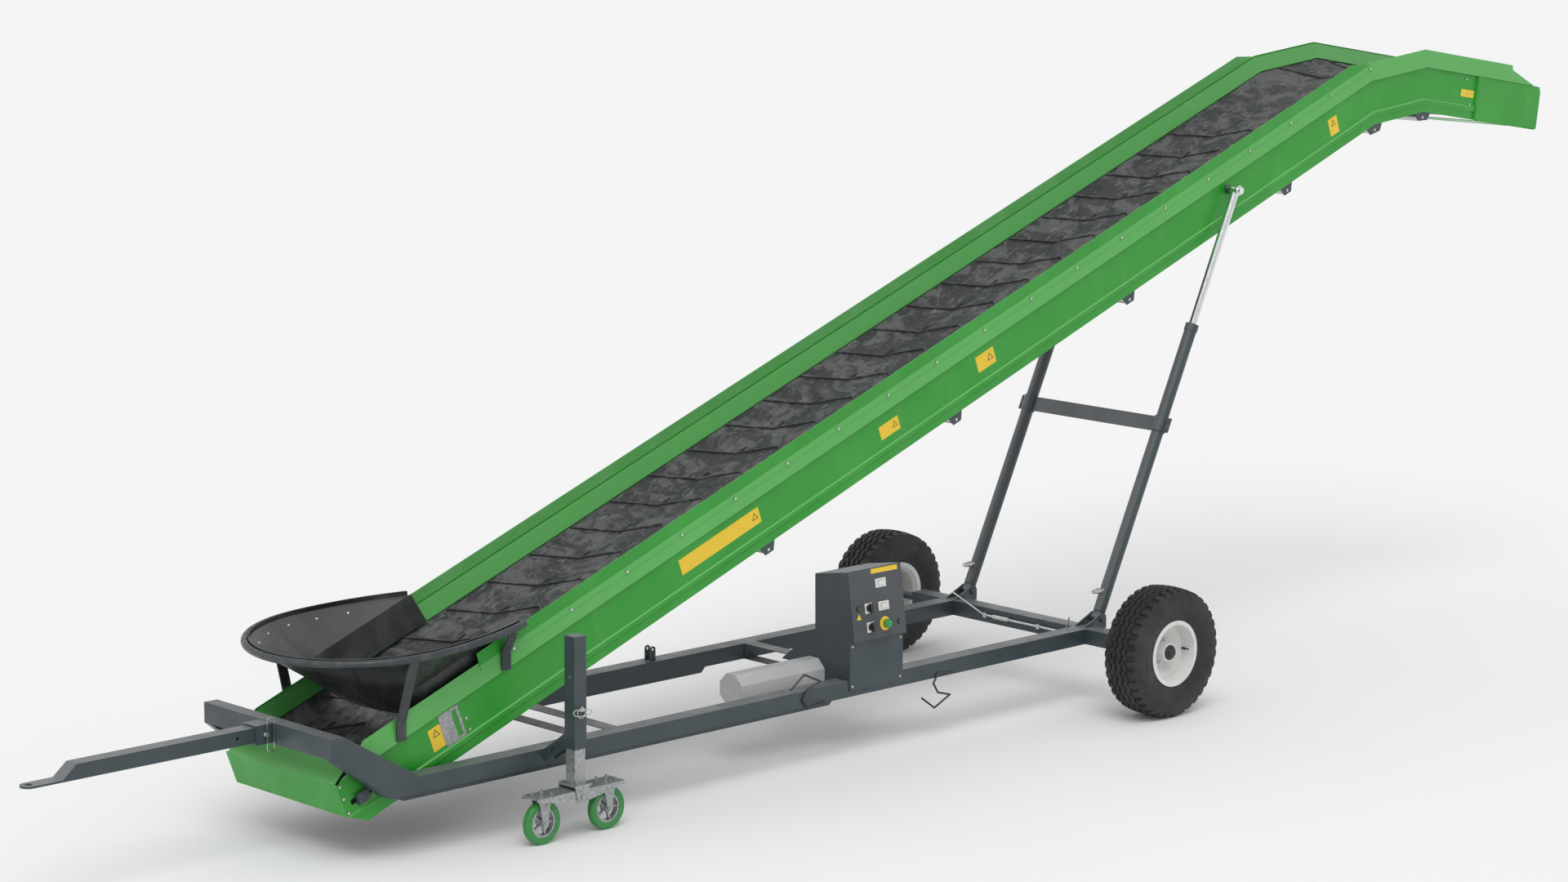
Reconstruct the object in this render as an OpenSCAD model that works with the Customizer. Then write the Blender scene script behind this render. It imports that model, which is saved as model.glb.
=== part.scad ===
// Mobile inclined troughed belt conveyor on a towed chassis.
// +X runs from the feed end to the discharge end, -Y is the console side, +Z is up, millimetres.

/* [Road wheels] */
// Outside diameter of a road tyre
tyre_d = 845; // [760:5:900]
// Width of a road tyre
tyre_w = 285; // [240:5:320]
// Diameter of the wheel rim at its flange
rim_d = 430; // [380:5:460]
// Distance between the two tyre centres
track = 2490; // [2350:10:2700]
// Diameter of the wheel spindle
spindle_d = 50; // [40:1:60]

/* [Chassis] */
// Outside width over the two side rails
chassis_w = 1314; // [1290:2:1400]
// Width of a side rail
rail_w = 116; // [90:2:120]
// Height of a side rail
rail_h = 100; // [80:2:130]
// Height of the rail tops above the wheel axis
rail_rise = 54; // [45:1:70]
// Length of a side rail, from the axle beam to its front tip
rail_len = 5858; // [5700:10:6000]
// Thickness of the stiffening bar under each rail
stiffener_h = 34; // [20:1:50]
// Section width of the axle beam, the cross members and the front beam
beam_w = 119; // [100:1:130]
// Height of the front beam above the rail tops
front_rise = 171; // [150:1:200]
// Drawbar section height
drawbar_h = 86; // [60:1:95]
// Drawbar section width
drawbar_w = 98; // [60:1:105]
// Drawbar length from the front beam to its bevelled end
drawbar_len = 1260; // [1000:10:1500]
// Bore of the towing eye
eye_d = 40; // [30:1:50]

/* [Support leg] */
// Outside width of the square leg sleeve
sleeve_w = 88; // [80:1:100]
// Wall thickness of the leg sleeve
sleeve_wall = 5; // [4:0.5:6]
// Length of the leg sleeve
sleeve_len = 655; // [560:5:700]
// Castor wheel diameter
castor_d = 250; // [200:5:260]
// Castor wheel width
castor_w = 50; // [40:1:60]
// Distance between the two castor axles
castor_base = 482; // [440:2:560]

/* [Boom] */
// Slope of the boom at rest
boom_angle = 20.7; // [16:0.1:24]
// Length of the straight part of the boom
boom_len = 9600; // [8000:50:10000]
// Length of the short piece between the two bends
knee_len = 557; // [500:5:700]
// Length of the discharge head beyond the second bend
head_len = 1355; // [1300:5:1500]
// Change of slope at each bend
bend = 14.7; // [8:0.1:16]
// Outside width over the two boom walls
boom_w = 1016; // [960:2:1020]
// Height of the boom wall up to its flange
wall_h = 314; // [300:1:360]
// Height of the sloping flange above the wall
flange_h = 122; // [100:1:140]
// Sheet thickness of the boom walls
sheet = 4; // [3:0.5:5]
// Height of the side boards above the wall foot
board_top = 501; // [480:1:560]
// Spacing of the side board bolts
bolt_pitch = 459.7; // [400:0.1:500]

/* [Belt] */
// Belt width
belt_w = 950; // [800:10:960]
// Width of the flat middle of the trough
belt_flat = 450; // [300:10:500]
// Slope of the two belt wings
wing_angle = 20; // [10:1:22]
// Belt thickness
belt_t = 8; // [6:1:10]
// Height of the belt surface above the wall foot
belt_h = 231; // [225:1:240]
// Spacing of the belt cleats
cleat_pitch = 345; // [300:5:400]
// Height of a cleat
cleat_h = 12; // [8:1:15]
// Tail drum diameter
tail_drum_d = 136; // [120:1:140]
// Head drum diameter
head_drum_d = 170; // [140:1:180]
// Return roller diameter
roller_d = 60; // [50:1:70]

/* [Lift cylinders] */
// Barrel diameter
barrel_d = 82; // [70:1:88]
// Rod diameter
rod_d = 54; // [40:1:60]
// Barrel length from the foot pin to the gland face
barrel_len = 2070; // [1900:10:2200]
// Foot and head pin diameter
pin_d = 30; // [24:1:36]

/* [Hopper] */
// Radius of the rounded front of the hopper rim
hopper_r = 690; // [600:5:720]
// Diameter of the rim tube
rim_tube_d = 42; // [32:1:50]

/* [Console] */
// Width of the console along the rail
console_w = 462; // [400:2:520]
// Height of the console above the rail tops
console_h = 680; // [600:5:760]

/* [Fits] */
// Radial running clearance of pins, shafts and sliding legs
fit = 0.05; // [0.02:0.01:0.1]
// Free gap between faces that move past each other
gap = 0.5; // [0.3:0.1:1]

/* [Hidden] */
$fn = 64;

green = [0.16, 0.52, 0.16];
slate = [0.23, 0.26, 0.28];
bright = [0.78, 0.78, 0.78];

// chassis levels and stations
axle_z = tyre_d / 2;
top_z = axle_z + rail_rise;
rail_y = chassis_w / 2;
beam_x = -72;
rail_x = beam_x - rail_len;
rail_nose = 130;
stiffener_w = 80;
stiffener_x0 = rail_x + 210;
stiffener_x1 = beam_x - 2275;
front_x = rail_x - 230;
front_depth = 90;
front_z = top_z + front_rise;
front_y = 584;
seam = 8;
neck_drop = 330;
beam_y = track / 2 - tyre_w / 2 - 175;
cross_x = [-4140, -2010];
cross_w = 100;
tongue_t = 12;
tongue_len = 251;
bar_z = front_z + (beam_w - drawbar_h) / 2 + 2;
bar_x = front_x - drawbar_len;
bevel = 80;
socket_wall = 12;
socket_len = 115;
bar_pin_x = front_x - 52;
bar_pin_d = 20;

// support leg
leg_x = -4648;
leg_y = -rail_y - 175 - sleeve_w / 2;
sleeve_z = top_z + 38;
leg_clear = 0.6;
leg_w = sleeve_w - 2 * sleeve_wall - 2 * leg_clear;
leg_pin_z = top_z + 272;
leg_pin_d = 18;
leg_travel_up = 175;
fork_top = castor_d + 18;
fork_plate = 8;
bogie_z = fork_top + fork_plate;
bogie_w = 140;
bogie_len = 650;
bogie_t = 8;
pivot_z = bogie_z - 32;
saddle_z = bogie_z + bogie_t + 18;
leg_z = saddle_z + 12;
castor_axle_d = 20;

// boom frame: x along the boom from the tail plate, z from the wall foot
wall_y = boom_w / 2;
pivot_x = 372;
pivot_h = 88;
boom_tail_x = rail_x - 28;
boom_tail_z = top_z - 280;
k1 = [boom_len, 0];
k2 = k1 + knee_len * [cos(bend), -sin(bend)];
k3 = k2 + head_len * [cos(2 * bend), -sin(2 * bend)];
lip = 18;
flange_lean = 21;
flange_y = wall_y + lip;
tail_low = 95;
tail_high = 286;
tail_cut = 118;
chevron_top = board_top;

function at_bend(i, h) =
  i == 0 ? [0, h] :
  i == 1 ? k1 + h / cos(bend / 2) * [sin(bend / 2), cos(bend / 2)] :
  i == 2 ? k2 + h / cos(bend / 2) * [sin(1.5 * bend), cos(1.5 * bend)] :
  k3 + h * [sin(2 * bend), cos(2 * bend)];
function head_at(d, h) = k2 + d * [cos(2 * bend), -sin(2 * bend)]
  + h * [sin(2 * bend), cos(2 * bend)];
function knee_at(d, h) = k1 + d * [cos(bend), -sin(bend)] + h * [sin(bend), cos(bend)];
function turned(p, a) = [p[0] * cos(a) - p[1] * sin(a), p[0] * sin(a) + p[1] * cos(a)];
function on_ground(p) = [boom_tail_x, boom_tail_z] + turned(p, boom_angle);

hood_tip = on_ground(head_at(head_len + 6, 276));
tongue_tip = bar_x - bevel - tongue_len;
mid_x = (hood_tip[0] + tongue_tip) / 2;

module placed() translate([-mid_x, 0, 0]) children();
module on_boom() placed() translate([boom_tail_x, 0, boom_tail_z]) rotate([0, -boom_angle, 0]) children();
module both() {
  children();
  mirror([0, 1, 0]) children();
}
// an XZ outline made solid between two values of y
module between(y0, y1) translate([0, y1, 0]) rotate([90, 0, 0]) linear_extrude(y1 - y0) children();
// a YZ outline made solid between two values of x
module run_x(x0, x1) translate([x0, 0, 0]) rotate([90, 0, 90]) linear_extrude(x1 - x0) children();
module bar(x0, x1, y0, y1, z0, z1) translate([x0, y0, z0]) cube([x1 - x0, y1 - y0, z1 - z0]);
module tube_bar(x0, x1, y0, y1, z0, z1, t) difference() {
  bar(x0, x1, y0, y1, z0, z1);
  bar(x0 - 1, x1 + 1, y0 + t, y1 - t, z0 + t, z1 - t);
}
module tube_z(x, y, w, z0, z1, t) difference() {
  bar(x - w / 2, x + w / 2, y - w / 2, y + w / 2, z0, z1);
  bar(x - w / 2 + t, x + w / 2 - t, y - w / 2 + t, y + w / 2 - t, z0 - 1, z1 + 1);
}
module rod_y(x, z, d, y0, y1) translate([x, y1, z]) rotate([90, 0, 0]) cylinder(d = d, h = y1 - y0);
module hex_y(x, z, d, y0, y1) translate([x, y1, z]) rotate([90, 0, 0]) cylinder(d = d, h = y1 - y0, $fn = 6);

// ---------------------------------------------------------------- chassis
module rail_side() {
  difference() {
    between(rail_y - rail_w, rail_y) polygon([[rail_x + rail_nose, top_z - rail_h], [beam_x, top_z - rail_h],
      [beam_x, top_z], [rail_x, top_z]]);
    bar(rail_x + rail_nose + 20, beam_x - 8, rail_y - rail_w + 6, rail_y - 6, top_z - rail_h + 6, top_z - 6);
  }
  between(rail_y - rail_w, rail_y - rail_w + stiffener_w)
    polygon([[stiffener_x0 + stiffener_h, top_z - rail_h - stiffener_h],
      [stiffener_x1 - stiffener_h, top_z - rail_h - stiffener_h],
      [stiffener_x1, top_z - rail_h], [stiffener_x0, top_z - rail_h]]);
}
ear_x = -2766;
ear_h = 92;
ear_y = rail_y - rail_w / 2;
module side_rails() placed() color(slate) {
  difference() {
    both() rail_side();
    for (s = [-1, 1])
      rod_y(pivot_ground[0], pivot_ground[1], boss_pin_d + 2 * fit, s > 0 ? rail_y - rail_w - 1 : -rail_y + 12,
        s > 0 ? rail_y - 12 : -rail_y + rail_w + 1);
  }
  for (y = [ear_y - 30, ear_y + 20]) difference() {
    union() {
      bar(ear_x - 20, ear_x + 20, y, y + 10, top_z, top_z + ear_h - 20);
      rod_y(ear_x, top_z + ear_h - 20, 40, y, y + 10);
    }
    rod_y(ear_x, top_z + ear_h - 20, 20, y - 1, y + 11);
  }
}
module cross_members() placed() color(slate)
  for (x = cross_x)
    tube_bar(x, x + cross_w, -rail_y + rail_w, rail_y - rail_w, top_z - rail_h, top_z, 5);

module neck_side() difference() {
  hull() {
    bar(front_x, front_x + front_depth, rail_y - 121, rail_y - 65, front_z, front_z + beam_w);
    between(rail_y - rail_w, rail_y) polygon([[rail_x, top_z], [rail_x + neck_drop, top_z],
      [rail_x + rail_nose + 40, top_z - rail_h], [rail_x + rail_nose, top_z - rail_h]]);
  }
  bar(front_x - 1, front_x + front_depth + 1, 0, front_y, front_z - 1, front_z + beam_w + 1);
  between(rail_y - rail_w - 1, rail_y + 1) polygon([[rail_x, top_z], [rail_x + neck_drop + 1, top_z],
    [rail_x + neck_drop + 1, top_z - rail_h - 1], [rail_x + rail_nose, top_z - rail_h - 1],
    [rail_x + rail_nose, top_z - rail_h]]);
}
module front_frame() placed() color(slate) {
  both() neck_side();
  difference() {
    union() {
      bar(front_x, front_x + front_depth, -front_y, front_y, front_z, front_z + beam_w);
      bar(front_x - socket_len, front_x, -drawbar_w / 2 - socket_wall, drawbar_w / 2 + socket_wall,
        bar_z - socket_wall, bar_z + drawbar_h + socket_wall);
    }
    bar(front_x - socket_len - 1, front_x + front_depth + 1, -drawbar_w / 2 - gap, drawbar_w / 2 + gap,
      bar_z - gap, bar_z + drawbar_h + gap);
    rod_y(bar_pin_x, bar_z + drawbar_h / 2, bar_pin_d + 2 * fit, -200, 200);
  }
}
module drawbar() placed() color(slate) {
  difference() {
    between(-drawbar_w / 2, drawbar_w / 2) polygon([[bar_x - bevel, bar_z], [front_x + front_depth + 20, bar_z],
      [front_x + front_depth + 20, bar_z + drawbar_h], [bar_x, bar_z + drawbar_h]]);
    bar(bar_x + 20, front_x + front_depth + 21, -drawbar_w / 2 + 8, drawbar_w / 2 - 8, bar_z + 8,
      bar_z + drawbar_h - 8);
    for (x = [bar_pin_x, bar_pin_x - 177])
      rod_y(x, bar_z + drawbar_h / 2, bar_pin_d + 2 * fit, -200, 200);
  }
  // tongue plate: down the bevelled end, then level to the rounded eye
  difference() {
    union() {
      between(-drawbar_w / 2, drawbar_w / 2) polygon([[bar_x, bar_z + drawbar_h],
        [bar_x - 14, bar_z + drawbar_h], [bar_x - bevel - 22, bar_z + tongue_t],
        [tongue_tip + drawbar_w / 2, bar_z + tongue_t], [tongue_tip + drawbar_w / 2, bar_z],
        [bar_x - bevel, bar_z]]);
      translate([tongue_tip + drawbar_w / 2, 0, bar_z]) cylinder(d = drawbar_w, h = tongue_t);
    }
    translate([tongue_tip + drawbar_w / 2, 0, bar_z - 1]) cylinder(d = eye_d, h = tongue_t + 2);
  }
}
module drawbar_pin() placed() color(bright) {
  pin_z = bar_z + drawbar_h / 2;
  half = drawbar_w / 2 + socket_wall;
  rod_y(bar_pin_x, pin_z, bar_pin_d, -half - 30, half + 14);
  rod_y(bar_pin_x, pin_z, 34, -half - 12, -half - gap);
  // long wire clip hanging from the pin head
  translate([bar_pin_x + 20, -half - 24, pin_z]) rotate([90, 0, 0]) linear_extrude(5) difference() {
    union() {
      square([52, 150], center = true);
      for (s = [-75, 75]) translate([0, s]) circle(d = 52);
    }
    square([42, 150], center = true);
    for (s = [-75, 75]) translate([0, s]) circle(d = 42);
  }
}

// ---------------------------------------------------------------- axle and road wheels
foot_x = 120;
foot_z = top_z + 36;
prop_y = 586;
lug_t = 10;
lug_gap = 70;
lug_r = 40;
boss_pin_d = 45;
pivot_ground = on_ground([pivot_x, pivot_h]);

module lug() difference() {
  union() {
    between(0, lug_t) polygon([[-60, top_z], [foot_x + lug_r, top_z - 30], [foot_x + lug_r, foot_z],
      [foot_x - lug_r * 0.66, foot_z + lug_r * 0.76]]);
    rod_y(foot_x, foot_z, 2 * lug_r, 0, lug_t);
  }
  rod_y(foot_x, foot_z, pin_d + 2 * fit, -1, lug_t + 1);
  bar(beam_x, beam_x + beam_w, -1, lug_t + 1, 0, top_z);
}
module axle_beam() placed() color(slate) {
  hollow_beam(beam_x, beam_x + beam_w, beam_y);
  for (s = [-1, 1]) {
    rod_y(0, axle_z, 90, s > 0 ? beam_y : -beam_y - 12, s > 0 ? beam_y + 12 : -beam_y);
    rod_y(0, axle_z, spindle_d, s > 0 ? beam_y - 60 : -track / 2 - 60, s > 0 ? track / 2 + 60 : -beam_y + 60);
    for (d = [-lug_gap / 2 - lug_t, lug_gap / 2]) translate([0, s * prop_y + d, 0]) lug();
  }
}
module hollow_beam(x0, x1, y) difference() {
  bar(x0, x1, -y, y, top_z - rail_h, top_z);
  bar(x0 + 6, x1 - 6, -y + 70, y - 70, top_z - rail_h + 6, top_z - 6);
}

tyre_crown = 12;
bead_d = rim_d - 42;
bead_y = tyre_w * 0.40 - 0.3;
lug_count = 24;
module tyre_body() rotate([90, 0, 0]) rotate_extrude() polygon([
  [bead_d / 2, -bead_y], [rim_d / 2 + 0.4, -bead_y], [rim_d / 2 + 8, -tyre_w * 0.43], [tyre_d * 0.36, -tyre_w * 0.5],
  [tyre_d * 0.43, -tyre_w * 0.49], [tyre_d / 2 - 34, -tyre_w * 0.44], [tyre_d / 2 - tyre_crown, -tyre_w * 0.36],
  [tyre_d / 2 - tyre_crown + 3, 0],
  [tyre_d / 2 - tyre_crown, tyre_w * 0.36], [tyre_d / 2 - 34, tyre_w * 0.44], [tyre_d * 0.43, tyre_w * 0.49],
  [tyre_d * 0.36, tyre_w * 0.5], [rim_d / 2 + 8, tyre_w * 0.43],
  [rim_d / 2 + 0.4, bead_y], [bead_d / 2, bead_y],
  [bead_d / 2 + 18, tyre_w * 0.34], [tyre_d * 0.40, tyre_w * 0.40], [tyre_d / 2 - 36, tyre_w * 0.3],
  [tyre_d / 2 - 36, -tyre_w * 0.3], [tyre_d * 0.40, -tyre_w * 0.40], [bead_d / 2 + 18, -tyre_w * 0.34]]);
// shoulder blocks and centre ribs within the outside diameter
module tyre_tread() intersection() {
  rotate([90, 0, 0]) cylinder(d = tyre_d, h = tyre_w * 0.96, center = true);
  union() {
    for (i = [0:lug_count - 1], s = [-1, 1])
      rotate([0, (i + (s > 0 ? 0.5 : 0)) * 360 / lug_count, 0])
        translate([-26, s > 0 ? tyre_w * 0.24 : -tyre_w * 0.48, tyre_d / 2 - 34]) cube([52, tyre_w * 0.24, 40]);
    for (y = [-0.16, -0.05, 0.06]) rotate([90, 0, 0]) translate([0, 0, y * tyre_w]) difference() {
      cylinder(d = tyre_d, h = tyre_w * 0.09);
      translate([0, 0, -1]) cylinder(d = tyre_d - 40, h = tyre_w * 0.09 + 2);
    }
  }
}
module tyre_at(s) placed() translate([0, s * track / 2, axle_z]) color([0.1, 0.1, 0.1]) {
  union() {
    tyre_body();
    tyre_tread();
  }
}
dish = 42;
module wheel_at(s) placed() translate([0, s * track / 2, axle_z]) color([0.88, 0.88, 0.88]) {
  rotate([-90, 0, 0]) difference() {
    rotate_extrude() polygon([[bead_d / 2 - 1, tyre_w * 0.40], [rim_d / 2, tyre_w * 0.40], [rim_d / 2, tyre_w * 0.42],
      [bead_d / 2 - 6, tyre_w * 0.42], [bead_d / 2 - 22, tyre_w * 0.1], [hub_r + 46, dish - 60],
      [hub_r - 4, dish - 60], [hub_r - 4, dish - 74], [hub_r + 50, dish - 74],
      [bead_d / 2 - 30, tyre_w * 0.1 - 10], [bead_d / 2 - 30, -tyre_w * 0.32],
      [bead_d / 2 - 8, -tyre_w * 0.42], [rim_d / 2, -tyre_w * 0.42], [rim_d / 2, -tyre_w * 0.40],
      [bead_d / 2 - 1, -tyre_w * 0.40], [bead_d / 2 - 20, -tyre_w * 0.30], [bead_d / 2 - 20, 0],
      [bead_d / 2 - 12, tyre_w * 0.1]]);
    for (i = [0:4]) rotate(i * 72 + 18) translate([lug_pcd / 2, 0, -40]) cylinder(d = 17, h = 60);
  }
  // hub with its dust cap, turning on the spindle
  rotate([-90, 0, 0]) difference() {
    union() {
      translate([0, 0, dish - 130]) cylinder(r = hub_r, h = 160);
      translate([0, 0, dish - 84]) cylinder(r = hub_r + 40, h = 12);
      translate([0, 0, dish + 30]) cylinder(r = 28, h = 26);
    }
    translate([0, 0, dish - 131]) cylinder(d = spindle_d + 2 * fit, h = 151);
  }
  for (i = [0:4]) rotate([-90, 0, 0]) rotate(i * 72 + 18) translate([lug_pcd / 2, 0, dish - 84]) {
    cylinder(d = 16.9, h = 44);
    translate([0, 0, 26]) cylinder(d = 26, h = 14, $fn = 6);
  }
}
hub_r = 62;
lug_pcd = 165;
module near_tyre() tyre_at(-1);
module far_tyre() tyre_at(1);
module near_wheel() mirror([0, 1, 0]) wheel_at(1);
module far_wheel() wheel_at(1);

// ---------------------------------------------------------------- support leg
bogie_x = leg_x - 14;
side_in = bogie_w / 2 + gap;
module leg_sleeve() placed() color(slate) difference() {
  union() {
    tube_z(leg_x, leg_y, sleeve_w, sleeve_z, sleeve_z + sleeve_len, sleeve_wall);
    bar(leg_x - sleeve_w / 2, leg_x + sleeve_w / 2, leg_y - sleeve_w / 2, leg_y + sleeve_w / 2,
      sleeve_z + sleeve_len - 5, sleeve_z + sleeve_len);
    for (x = [leg_x - 44, leg_x + 36]) difference() {
      run_x(x, x + 8) polygon([[-rail_y, top_z - 76], [-rail_y, top_z], [leg_y + sleeve_w / 2 - 3, top_z + 124],
        [leg_y + sleeve_w / 2 - 3, sleeve_z]]);
      run_x(x - 1, x + 9) polygon([[-rail_y - 34, top_z - 32], [-rail_y - 34, top_z - 2],
        [leg_y + sleeve_w / 2 + 34, top_z + 66]]);
    }
  }
  rod_y(leg_x, leg_pin_z, leg_pin_d + 2 * fit, leg_y - 60, leg_y + 60);
  translate([leg_x - 60, leg_y, sleeve_z + 419]) rotate([0, 90, 0]) cylinder(d = 22, h = 40);
}
module leg_pin() placed() color(bright) {
  out = leg_y - sleeve_w / 2;
  rod_y(leg_x, leg_pin_z, leg_pin_d, out - 26, leg_y + sleeve_w / 2 + 12);
  rod_y(leg_x, leg_pin_z, 30, out - 12, out - gap);
  translate([leg_x - 10, out - 20, leg_pin_z - 20]) rotate([90, 0, 0]) rotate_extrude() translate([28, 0]) circle(d = 5);
}
module inner_leg() placed() color([0.62, 0.64, 0.65]) difference() {
  tube_z(leg_x, leg_y, leg_w, leg_z, leg_pin_z + 200, 5);
  for (z = [leg_pin_z, leg_pin_z - leg_travel_up]) rod_y(leg_x, z, leg_pin_d + 2 * fit, leg_y - 60, leg_y + 60);
  bar(leg_x - leg_pin_d / 2 - fit, leg_x + leg_pin_d / 2 + fit, leg_y - 60, leg_y + 60,
    leg_pin_z - leg_travel_up, leg_pin_z);
}
module leg_saddle() placed() color([0.62, 0.64, 0.65]) difference() {
  union() {
    bar(bogie_x - 52, bogie_x + 66, leg_y - side_in - 8, leg_y + side_in + 8, saddle_z, leg_z);
    for (y = [leg_y - side_in - 8, leg_y + side_in]) {
      between(y, y + 8) polygon([[bogie_x - 52, saddle_z], [bogie_x + 52, saddle_z],
        [bogie_x + 40, pivot_z], [bogie_x - 40, pivot_z]]);
      rod_y(bogie_x, pivot_z, 80, y, y + 8);
    }
    rod_y(bogie_x, pivot_z, 24, leg_y - side_in - 18, leg_y + side_in + 18);
  }
}
module bogie() placed() color([0.62, 0.64, 0.65]) difference() {
  union() {
    bar(bogie_x - bogie_len / 2, bogie_x + bogie_len / 2, leg_y - bogie_w / 2, leg_y + bogie_w / 2,
      bogie_z, bogie_z + bogie_t);
    for (y = [leg_y - bogie_w / 2, leg_y + bogie_w / 2 - 6]) between(y, y + 6)
      polygon([[bogie_x - bogie_len / 2, bogie_z], [bogie_x - bogie_len / 2, bogie_z - 10],
        [bogie_x - 70, pivot_z - 26], [bogie_x + 70, pivot_z - 26],
        [bogie_x + bogie_len / 2, bogie_z - 10], [bogie_x + bogie_len / 2, bogie_z]]);
    for (s = [-1, 1], dx = [-38, 38], dy = [-42, 42])
      translate([bogie_x + s * castor_base / 2 + dx, leg_y + dy, bogie_z + bogie_t]) {
        cylinder(d = 22, h = 9, $fn = 6);
        cylinder(d = 12, h = 22);
      }
  }
  rod_y(bogie_x, pivot_z, 24 + 2 * fit, leg_y - 90, leg_y + 90);
}
module castor_forks() placed() color([0.62, 0.64, 0.65]) for (s = [-1, 1]) {
  x = bogie_x + s * castor_base / 2;
  bar(x - 55, x + 55, leg_y - 52, leg_y + 52, fork_top, fork_top + fork_plate);
  for (y = [leg_y - castor_w / 2 - 10, leg_y + castor_w / 2 + 4]) {
    between(y, y + 6) polygon([[x - 46, fork_top], [x + 46, fork_top], [x + 17, castor_d / 2], [x - 17, castor_d / 2]]);
    rod_y(x, castor_d / 2, 36, y, y + 6);
  }
  rod_y(x, castor_d / 2, castor_axle_d, leg_y - castor_w / 2 - 18, leg_y + castor_w / 2 + 18);
}
castor_rim = castor_d / 2 - 38;
module castor_tyre_at(s) placed() translate([bogie_x + s * castor_base / 2, leg_y, castor_d / 2])
  rotate([90, 0, 0]) color([0.25, 0.55, 0.3]) rotate_extrude() polygon([[castor_rim, -castor_w / 2 + 3],
    [castor_d / 2 - 7, -castor_w / 2], [castor_d / 2, -castor_w / 2 + 9], [castor_d / 2, castor_w / 2 - 9],
    [castor_d / 2 - 7, castor_w / 2], [castor_rim, castor_w / 2 - 3]]);
module castor_hub_at(s) placed() translate([bogie_x + s * castor_base / 2, leg_y, castor_d / 2])
  rotate([90, 0, 0]) color(bright) difference() {
    union() {
      rotate_extrude() polygon([[castor_rim - 14, -castor_w / 2 + 6], [castor_rim - 0.3, -castor_w / 2 + 6],
        [castor_rim - 0.3, castor_w / 2 - 6], [castor_rim - 14, castor_w / 2 - 6]]);
      cylinder(d = 48, h = castor_w + 4, center = true);
      for (i = [0:4]) rotate(i * 72) translate([18, -7, -8]) cube([castor_rim - 26, 14, 16]);
    }
    cylinder(d = castor_axle_d + 2 * fit, h = castor_w + 10, center = true);
  }
module castor_tyre_front() castor_tyre_at(-1);
module castor_tyre_rear() castor_tyre_at(1);
module castor_hub_front() castor_hub_at(-1);
module castor_hub_rear() castor_hub_at(1);

// ---------------------------------------------------------------- console
con_x = -2248;
con_k = console_h / 680;
panel_top = [-rail_y + 24, top_z + console_h];
panel_lean = 8.07;
panel_l = 441 * con_k;
function con(z) = top_z + con_k * z;
module console_case() placed() color(slate) difference() {
  run_x(con_x, con_x + console_w) polygon([[-rail_y + 304, con(632)], panel_top, [-rail_y - 38, con(243)],
    [-rail_y - 8, con(243)], [-rail_y - 8, top_z - 64], [-rail_y - 0.3, top_z - 64], [-rail_y - 0.3, top_z + 0.3],
    [-rail_y + rail_w + 0.3, top_z + 0.3], [-rail_y + rail_w + 0.3, top_z - 36], [-434, top_z - 79],
    [-303, top_z - 76], [-228, top_z + 40], [-59, top_z + 44], [-rail_y + 300, con(282)]]);
  run_x(con_x + 4, con_x + console_w - 4) polygon([[-rail_y + 300, con(622)], [-rail_y + 30, con(668)],
    [-rail_y - 30, con(250)], [-rail_y - 2, con(240)], [-rail_y - 2, top_z + 8], [-250, top_z + 8],
    [-rail_y + 294, con(276)]]);
  on_panel(con_x, 0, 0) for (i = items) translate([i[0], i[1], -1]) cylinder(d = 30, h = 40);
  bar(cross_x[1] - 0.3, cross_x[1] + cross_w + 0.3, -rail_y, 0, top_z - rail_h - 1, top_z + 0.3);
}
// panel frame: x along the panel, y down its face, z into the case
module on_panel(x, u, v) translate([x + u, panel_top[0], panel_top[1]]) rotate([-90 - panel_lean, 0, 0])
  translate([0, v, 0]) children();
items = [[150, 243], [154, 361], [281, 355], [271, 99], [281, 243]];
module console_panel() placed() color([0.72, 0.73, 0.73]) on_panel(con_x, 0, 0) difference() {
  translate([2, 4, -4.3]) cube([console_w - 4, panel_l - 8, 4]);
  for (i = items) translate([i[0], i[1], -6]) cylinder(d = i[1] < 150 || (i[0] > 280 && i[1] < 300) ? 22 : 18 + 2 * fit, h = 10);
}
module console_trim() placed() {
  color([0.9, 0.9, 0.88]) on_panel(con_x, 0, 0) {
    for (i = [items[0], items[1]]) difference() {
      translate([i[0] - 32, i[1] - 32, -7]) cube([64, 64, 2.5]);
      translate([i[0], i[1], -8]) cylinder(d = 24, h = 5);
    }
    difference() {
      translate([items[2][0], items[2][1], -7]) cylinder(d = 88, h = 2.5);
      translate([items[2][0], items[2][1], -8]) cylinder(d = 24, h = 5);
    }
    for (i = [items[3], items[4]]) difference() {
      translate([i[0] - 45, i[1] - 28, -8]) cube([90, 56, 3.5]);
      translate([i[0] - 24, i[1] - 16, -9]) cube([48, 32, 5]);
      translate([i[0], i[1], -9]) cylinder(d = 24, h = 5);
    }
    translate([196, 6, -6]) cube([230, 30, 1.5]);
    for (i = [[62, 236], [403, 358]]) {
      translate([i[0], i[1], -9]) cylinder(d = 34, h = 4.5);
      translate([i[0], i[1], -17]) cylinder(d = 22, h = 9);
    }
    translate([62, 292, -5.5]) rotate(-90) cylinder(d = 46, h = 1, $fn = 3);
  }
  color(bright) for (x = [con_x + 22, con_x + console_w - 22], z = [con(215), top_z - 36])
    rod_y(x, z, 16, -rail_y - 13, -rail_y - 8.3);
}
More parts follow.
